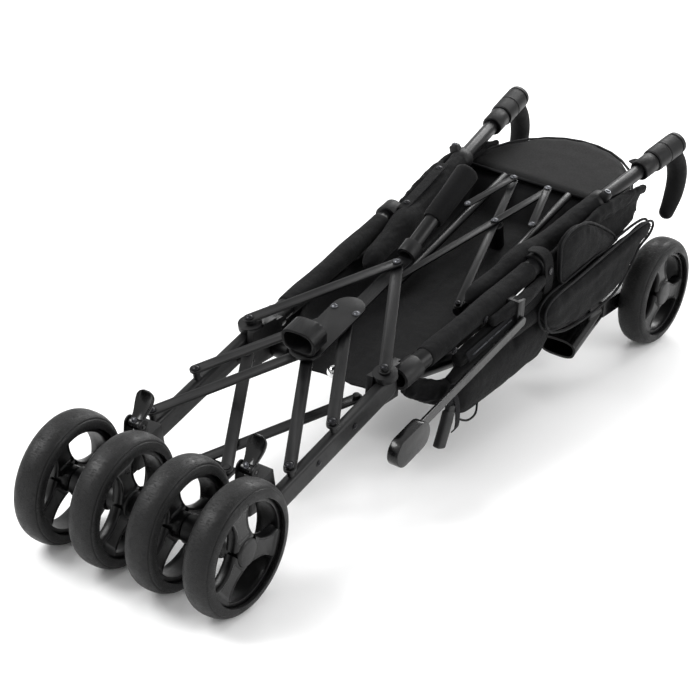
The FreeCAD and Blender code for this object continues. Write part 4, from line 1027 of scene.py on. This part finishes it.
def fold(name, points, widths, heights, body, finish="cloth", side=(1, 0, 0), crease=2.0, seed=1, size=22,
         squareness=2.4, stretch=(1.6, 0.45, 1.6)):
    """A soft bundle of folded cloth along a path."""
    path = smooth_path(points, 10)
    widths = spread_values(widths, len(path))
    heights = spread_values(heights, len(path))
    rounding = min(widths[0], heights[0]) * 0.8
    verts, faces, uv = swept(path, widths, heights, side, 30, squareness, rounding)
    item = piece(name, verts, faces, finish, body, (), uv, smooth=0)
    refine(item)
    creased(item, stretch, size, crease, seed)
    return item


# folded cloth that hangs between the rail and the roll, in two loose layers
fold("cabin_side_fold_upper", [(110, 418, 128), (112, 470, 138), (113, 530, 146), (114, 588, 152)],
     [7, 8, 8.5, 6], [10, 13, 13, 9], "side_right", "lining", crease=2.6, seed=2)
fold("cabin_side_fold_lower", [(112, 400, 108), (114, 455, 122), (115, 520, 128), (116, 600, 130)],
     [6, 9, 9, 7], [9, 11, 12, 10], "side_right", "cloth", crease=2.4, seed=7)
fold("cabin_bracket_fold", [(117, 478, 158), (122, 512, 164), (123, 545, 169), (118, 590, 172)],
     [4, 6.5, 6.5, 4], [6, 9, 9, 6], "side_right", "cloth", crease=2.0, seed=27, size=20)
# the small pocket flap above the quilted one
pocket_outline = closed_curve([(612, 196), (613, 214), (632, 225), (668, 224), (706, 207), (748, 180),
                               (742, 168), (700, 166), (650, 160), (620, 160)])
pocket = slab("pocket_flap_pad", inset(pocket_outline, 1.5), flap_place, 119.5, 126.5)
puffed(pocket, 4.0, 3.0, 4.0)
creased(pocket, (1, 0.6, 1.4), 20, 1.6, 9)
refine(pocket)
dress(pocket, "cloth", "side_right")
verts, faces, _ = ring_sweep(on_side(pocket_outline, 0.8, 126.4), 1.4)
piece("pocket_flap_piping", verts, faces, "piping", "side_right", smooth=0)
snap("pocket_flap_snap", (128.2, 655, 206), (1, 0, 0), "side_right", 6.0)
stitches("pocket_flap_stitches", [on_side(pocket_outline, 7.0, 128.6)[0:70]], "side_right")
# the lining's gathered front corner, under the side joint
fold("cabin_front_fold", [(88, 352, 112), (98, 372, 104), (110, 398, 98), (118, 436, 96)],
     [8, 10, 9, 6], [10, 14, 15, 10], "side_right", "lining", crease=3.4, seed=44, size=20)
# the strap tab that closes round the end of the rail, with its press stud
strip("rail_tab", [(97, 592, 205), (108, 594, 205.5), (117, 596, 199), (120.5, 597, 184), (121, 598, 168),
                   (120, 599, 156)], 19, 2.2, "side_right", "cloth", side=(0, 1, 0), rounding=3)
snap("rail_tab_snap", (121.8, 598, 182), (1, 0, 0.1), "side_right", 5.2)
# the zip tape along the side, with coil teeth
strip("zip_tape", [(122.5, 420, 136), (124.5, 470, 145), (125, 512, 151)], 1.8, 13, "side_right",
      side=(1, 0, 0.35))
stitches("zip_teeth", [[Vector((125.6 + 0.02 * i, 426 + 5 * i, 138.5 + 0.87 * i)) for i in range(17)]],
         "side_right", "steel", 2.6, 1.0)
# hanging strap with its buckle, and a short end of drawcord beside it
strip("hanging_strap", [(128, 384, 118), (129, 380, 100), (129, 374, 84)], 14, 1.8, "side_right",
      side=(0, 1, 0), rounding=1)
verts, faces, uv = joined(
    swept(smooth_path([(129, 376, 86), (129, 370, 68), (129, 362, 48)], 6), [9.5] * 13, [4.5] * 13,
          (0, 1, 0), 20, 5, rounding=3),
    swept(smooth_path([(129, 379, 92), (129, 377, 84)], 3), [7.5] * 4, [3.6] * 4,
          (0, 1, 0), 16, 5, rounding=2))
piece("strap_buckle", verts, faces, "plastic", "side_right", (), uv, smooth=45)
strip("buckle_loop", [(124, 386, 112), (131, 388, 96), (133, 390, 78), (132, 392, 62), (127, 394, 54)],
      9, 1.6, "side_right", side=(0, 1, 0.2))
verts, faces, uv = swept(smooth_path([(120, 456, 66), (128, 440, 58), (130, 420, 58), (129, 402, 66)], 10),
                         [1.3] * 31, [1.3] * 31, (0, 0, 1), 10, 2.0, rounding=1)
piece("drawcord_end", verts, faces, "piping", "side_right", (), uv, smooth=0)

# the cabin floor: one curved panel of lining between the side frames
def lining_edge(along):
    """Half width of the lining, and its height there, under the rails and then under the handle tubes."""
    foot_x, foot_y, foot_z = HANDLE_FOOT
    rail = (72 + 22 * ease((along - 350) / 60), 138 + (along - 318) * 0.178 - 15)
    tube = (foot_x + 2 + (along - foot_y) * 0.1086, foot_z + (along - foot_y) * 0.21 - 13)
    share = ease((along - 560) / 60)
    return [first + (second - first) * share for first, second in zip(rail, tube)]


def floor_height(across, along):
    """The lining lies on the floor, climbs over the folded front legs and rises to the side tubes."""
    reach = abs(across)
    base = 92 + (along - 340) * math.tan(math.radians(9.5))
    leg_inner = 66 + (along - 325) * 0.084 - 12
    over_legs = max(118 - (along - 325) * 0.116 + 13, base)
    low = base + (over_legs - base) * ease((reach - leg_inner + 5) / 5)
    edge, edge_height = lining_edge(along)
    low += (edge_height - low) * ease((reach - edge + 16) / 16)
    if along > 742:
        low += (187.8 + 0.15 * (along - 782) - low) * ease((along - 742) / 36)
    wave = 2.6 * noise.noise(Vector((across / 30, along / 75, 1.7))) - 1.0
    calm = ease((reach - 3) / 12) * ease((770 - along) / 30)
    return low + min(wave * calm, 0.4) + 0.2


def panel(name, half_width, along_range, height, thick, columns, rows, finish, body, replaced=()):
    """A closed thin panel over a grid of places; its half width and height are functions of the place."""
    verts = []
    for layer in (0, 1):
        for row in range(rows + 1):
            along = along_range[0] + (along_range[1] - along_range[0]) * row / rows
            for column in range(columns + 1):
                across = half_width(along) * (2 * column / columns - 1)
                verts.append((across, along, height(across, along) - thick * layer))
    return piece(name, verts, sheet_faces(rows, columns), finish, body, replaced, smooth=50)


floor_panel = panel("cabin_floor_panel", lambda along: lining_edge(along)[0], (350, 802), floor_height,
                    2.0, 100, 150, "lining", "spine", ("cabin_floor",))


# the base board: a padded cover over a half-oval board, with a piped edge
BOARD_SLOPE = math.tan(math.radians(10.1))
BOARD_HEIGHT, BOARD_EDGE_Y = 191, 782
BOARD_HALF, BOARD_DEPTH = 112, 121


def board_place(across, along, depth):
    return (across, along - depth * 0.175, BOARD_HEIGHT + (along - BOARD_EDGE_Y) * BOARD_SLOPE + depth)


board_outline = [Vector((BOARD_HALF * math.cos(angle), BOARD_EDGE_Y + 2 + BOARD_DEPTH * math.sin(angle)))
                 for angle in map(math.radians, range(0, 181, 12))]
board = slab("base_board_cover", inset(board_outline, 1.5), board_place, 0.5, 7.2)
puffed(board, 4.5, 1.0, 2.0)
creased(board, (1, 1, 1), 60, 0.8, 15)
refine(board)
dress(board, "board", "spine", ("base_board",))
verts, faces, uv = ring_sweep([Vector(board_place(p[0], p[1], 6.4)) for p in inset(board_outline, 1.2)], 1.8)
piece("base_board_piping", verts, faces, "piping", "spine", (), uv, smooth=0)
stitches("base_board_stitches", [[board_place(p[0], p[1], 8.0) for p in inset(board_outline, 8.0)]], "spine",
         "piping", 3.6, 0.4)
# cloth sleeves round the lower handle tubes, over the rail clamps
SLEEVE_START, CLAMP_ALONG = -9, 92
for side_name, side in SIDES.items():
    path, radii = [], []
    for step in range(42):
        along = SLEEVE_START + 6.2 * step
        clamp = math.exp(-((along - CLAMP_ALONG) / 30) ** 2)
        closing = 0.75 * math.exp(-(along - SLEEVE_START) / 7)
        path.append(on_handle(side, along))
        radii.append((12.0 + 4.2 * clamp) * (1 - closing))
    verts, faces, uv = swept(path, radii, [1.1 * r for r in radii], (1, 0, 0), 32, 2.2, rounding=1.5)
    sleeve = piece(f"tube_sleeve_{side_name}", verts, faces, "cloth", f"side_{side_name}", (), uv, smooth=0)
    refine(sleeve)
    creased(sleeve, (1.4, 0.5, 1.4), 20, 1.3, 40 + side)

# cloth covers round the rails, above the zip
for side_name, side in SIDES.items():
    path = [Vector((side * (93.9 + 0.0384 * along), 318 + 0.9845 * along, 138 + 0.1754 * along))
            for along in range(52, 266, 6)]
    radii = [12.1 + 0.5 * math.sin(0.35 * step) for step in range(len(path))]
    verts, faces, uv = swept(path, radii, radii, (1, 0, 0), 32, 2.3, rounding=1)
    cover = piece(f"rail_cover_{side_name}", verts, faces, "cloth", f"side_{side_name}", (), uv, smooth=0)
    refine(cover)
    creased(cover, (1.4, 0.5, 1.4), 24, 0.7, 80 + side)

# the cabin's gathered side, between the rail and the base board
for side_name, side in SIDES.items():
    fold(f"cabin_side_bundle_{side_name}",
         [(side * 103, 566, 136), (side * 109, 612, 147), (side * 111, 668, 158), (side * 111, 728, 171),
          (side * 110, 780, 184), (side * 107, 822, 190), (side * 100, 856, 196)],
         [6, 8, 8.5, 8.5, 8, 6, 4], [16, 31, 36, 34, 25, 16, 7], f"side_{side_name}", crease=4.6,
         seed=12 + side, size=28, stretch=(1.2, 0.5, 1.3))
    fold(f"cabin_side_hem_{side_name}",
         [(side * 108, 622, 186), (side * 112, 680, 201), (side * 114, 742, 211), (side * 113, 800, 210),
          (side * 108, 850, 204)],
         [4, 5, 6, 5, 3], [7, 10, 10, 8, 5], f"side_{side_name}", crease=2.6, seed=60 + side, size=19,
         stretch=(1.2, 0.6, 1.2))
# the end of a strap on the board's round edge
strip("board_strap_tip", [(70, 884, 219), (74, 892, 220.5), (78, 897, 219)], 9, 2.0, "spine",
      side=(1, -0.3, 0))

# dark sleeve over the end of the centre tube
TUBE_PITCH = math.radians(28)
tube_line = Vector((0, math.cos(TUBE_PITCH), math.sin(TUBE_PITCH)))
tube_start = in_plane(0, BAR_REACH + 18, 4.5)
profile = [(60, 9.3), (60, 11.4), (63, 13.0), (110, 13.6), (136, 14.6), (140.5, 14.4), (141.5, 13.4),
           (141.5, 11.8), (120, 9.3)]
verts, faces, uv = revolved(profile, tube_start, tube_line, 40, ring=True, reference=(0, -0.5, 1))
piece("centre_tube_sleeve", verts, faces, "lining", "spine", (), uv, smooth=50)

# ball end of the cabin's drawbar, on its stalk under the hub
BALL_RADIUS = 8
profile = [(-BALL_RADIUS * math.cos(angle), max(BALL_RADIUS * math.sin(angle), 0.05))
           for angle in map(math.radians, range(0, 181, 10))]
verts, faces, uv = revolved(profile, (0, 332, 110), (0, -0.5, 0.87), 28)
piece("drawbar_ball", verts, faces, "chrome", "spine", (), uv, smooth=0)
verts, faces, uv = swept(smooth_path([(0, 345, 93), (0, 338, 100), (0, 334, 106)], 4), [3.0] * 9, [3.0] * 9,
                         (1, 0, 0), 12)
piece("drawbar_stalk", verts, faces, "plastic", "spine", (), uv, smooth=40)

# clamps with screws where the cabin hangs from the handle tubes
for side_name, side in SIDES.items():
    centre = on_handle(side, 248)
    profile = [(-9, 9.1), (-9, 12.2), (-7.5, 13.4), (7.5, 13.4), (9, 12.2), (9, 9.1)]
    collar = revolved(profile, centre, handle_line(side), 36, ring=True)
    lug = swept([centre + Vector((side * across, 0, up)) for across, up in ((6, 6), (10, 12), (12, 16))],
                [6, 6, 5.5], [7, 7, 6], (0, 1, 0), 16, 4, rounding=2)
    verts, faces, uv = joined(collar, lug)
    piece(f"cabin_clamp_{side_name}", verts, faces, "plastic", f"side_{side_name}", (), uv, smooth=45)
    rivets(f"cabin_clamp_screw_{side_name}", [(centre + Vector((side * 12.4, 0, 18.4)), (side * 0.4, 0, 1))],
           3.8, 1.6, "steel", f"side_{side_name}")

# far side: a flat strap along the handle tube, with two rivets
strip("far_strap", [(-88, 598, 201), (-92, 650, 213), (-97, 700, 224)], 14, 2.0, "side_left", "cloth",
      side=(1, 0, 0.1), rounding=3)
rivets("far_strap_rivets", [((-89, 608, 205), (0, -0.2, 1)), ((-96, 690, 223), (0, -0.2, 1))], 4.2, 1.6,
       "rivet", "side_left")
fold("far_side_fold", [(-104, 372, 112), (-108, 430, 122), (-110, 510, 132), (-108, 580, 144)],
     [5, 8, 9, 7], [11, 16, 18, 14], "side_left", "cloth", crease=3.2, seed=31, size=24)

# ---- stage ------------------------------------------------------------------------------------------------
def stage_floor():
    reach = 6.0
    verts = [(-reach, -reach, 0), (reach, -reach, 0), (reach, reach, 0), (-reach, reach, 0)]
    mesh = bpy.data.meshes.new("floor")
    mesh.from_pydata(verts, [], [(0, 1, 2, 3)])
    material, _, shader, _ = start("pale_floor", Roughness=0.9)
    shader.inputs["Base Color"].default_value = linear("#f4f4f4")
    mesh.materials.append(material)
    show("floor", mesh)


def area_light(name, place, target, size, power):
    data = bpy.data.lights.new(name, "AREA")
    data.shape = "RECTANGLE"
    data.size, data.size_y = size
    data.energy = power
    item = show(name, data)
    item.location = place
    item.rotation_euler = (Vector(target) - Vector(place)).to_track_quat("-Z", "Y").to_euler()


stage_floor()
world = bpy.data.worlds.new("studio")
bpy.context.scene.world = world
world.use_nodes = True
background = world.node_tree.nodes["Background"]
background.inputs["Color"].default_value = (1, 1, 1, 1)
background.inputs["Strength"].default_value = 0.85
area_light("key", (-1.6, -1.2, 2.2), (0, 0, 0.1), (1.6, 1.2), 70)
area_light("fill", (2.2, 0.6, 1.4), (0, 0.1, 0.1), (1.4, 1.4), 26)
area_light("rim", (-0.4, 2.4, 1.6), (0, 0, 0.1), (2.0, 0.8), 45)

# the lens stands above the right rear corner and looks down along the frame
LENS_PLACE = Vector((1.35085, AXLE_Y - 1.76991, 1.39344))
FOCAL_LENGTH_MM = 127.3423
camera_data = bpy.data.cameras.new("camera")
camera_data.sensor_width = 36.0
camera_data.lens = FOCAL_LENGTH_MM
camera = show("camera", camera_data)
AZIMUTH, ELEVATION, ROLL = math.radians(32.348), math.radians(26.664), math.radians(4.2496)
backward = Vector((math.sin(AZIMUTH) * math.cos(ELEVATION), -math.cos(AZIMUTH) * math.cos(ELEVATION),
                   math.sin(ELEVATION)))
level_right = Vector((math.cos(AZIMUTH), math.sin(AZIMUTH), 0))
level_up = backward.cross(level_right)
right = level_right * math.cos(ROLL) + level_up * math.sin(ROLL)
upward = level_up * math.cos(ROLL) - level_right * math.sin(ROLL)
camera.matrix_world = Matrix.Translation(LENS_PLACE) @ Matrix((right, upward, backward)).transposed().to_4x4()
bpy.context.scene.camera = camera
bpy.context.scene.view_settings.view_transform = "Standard"
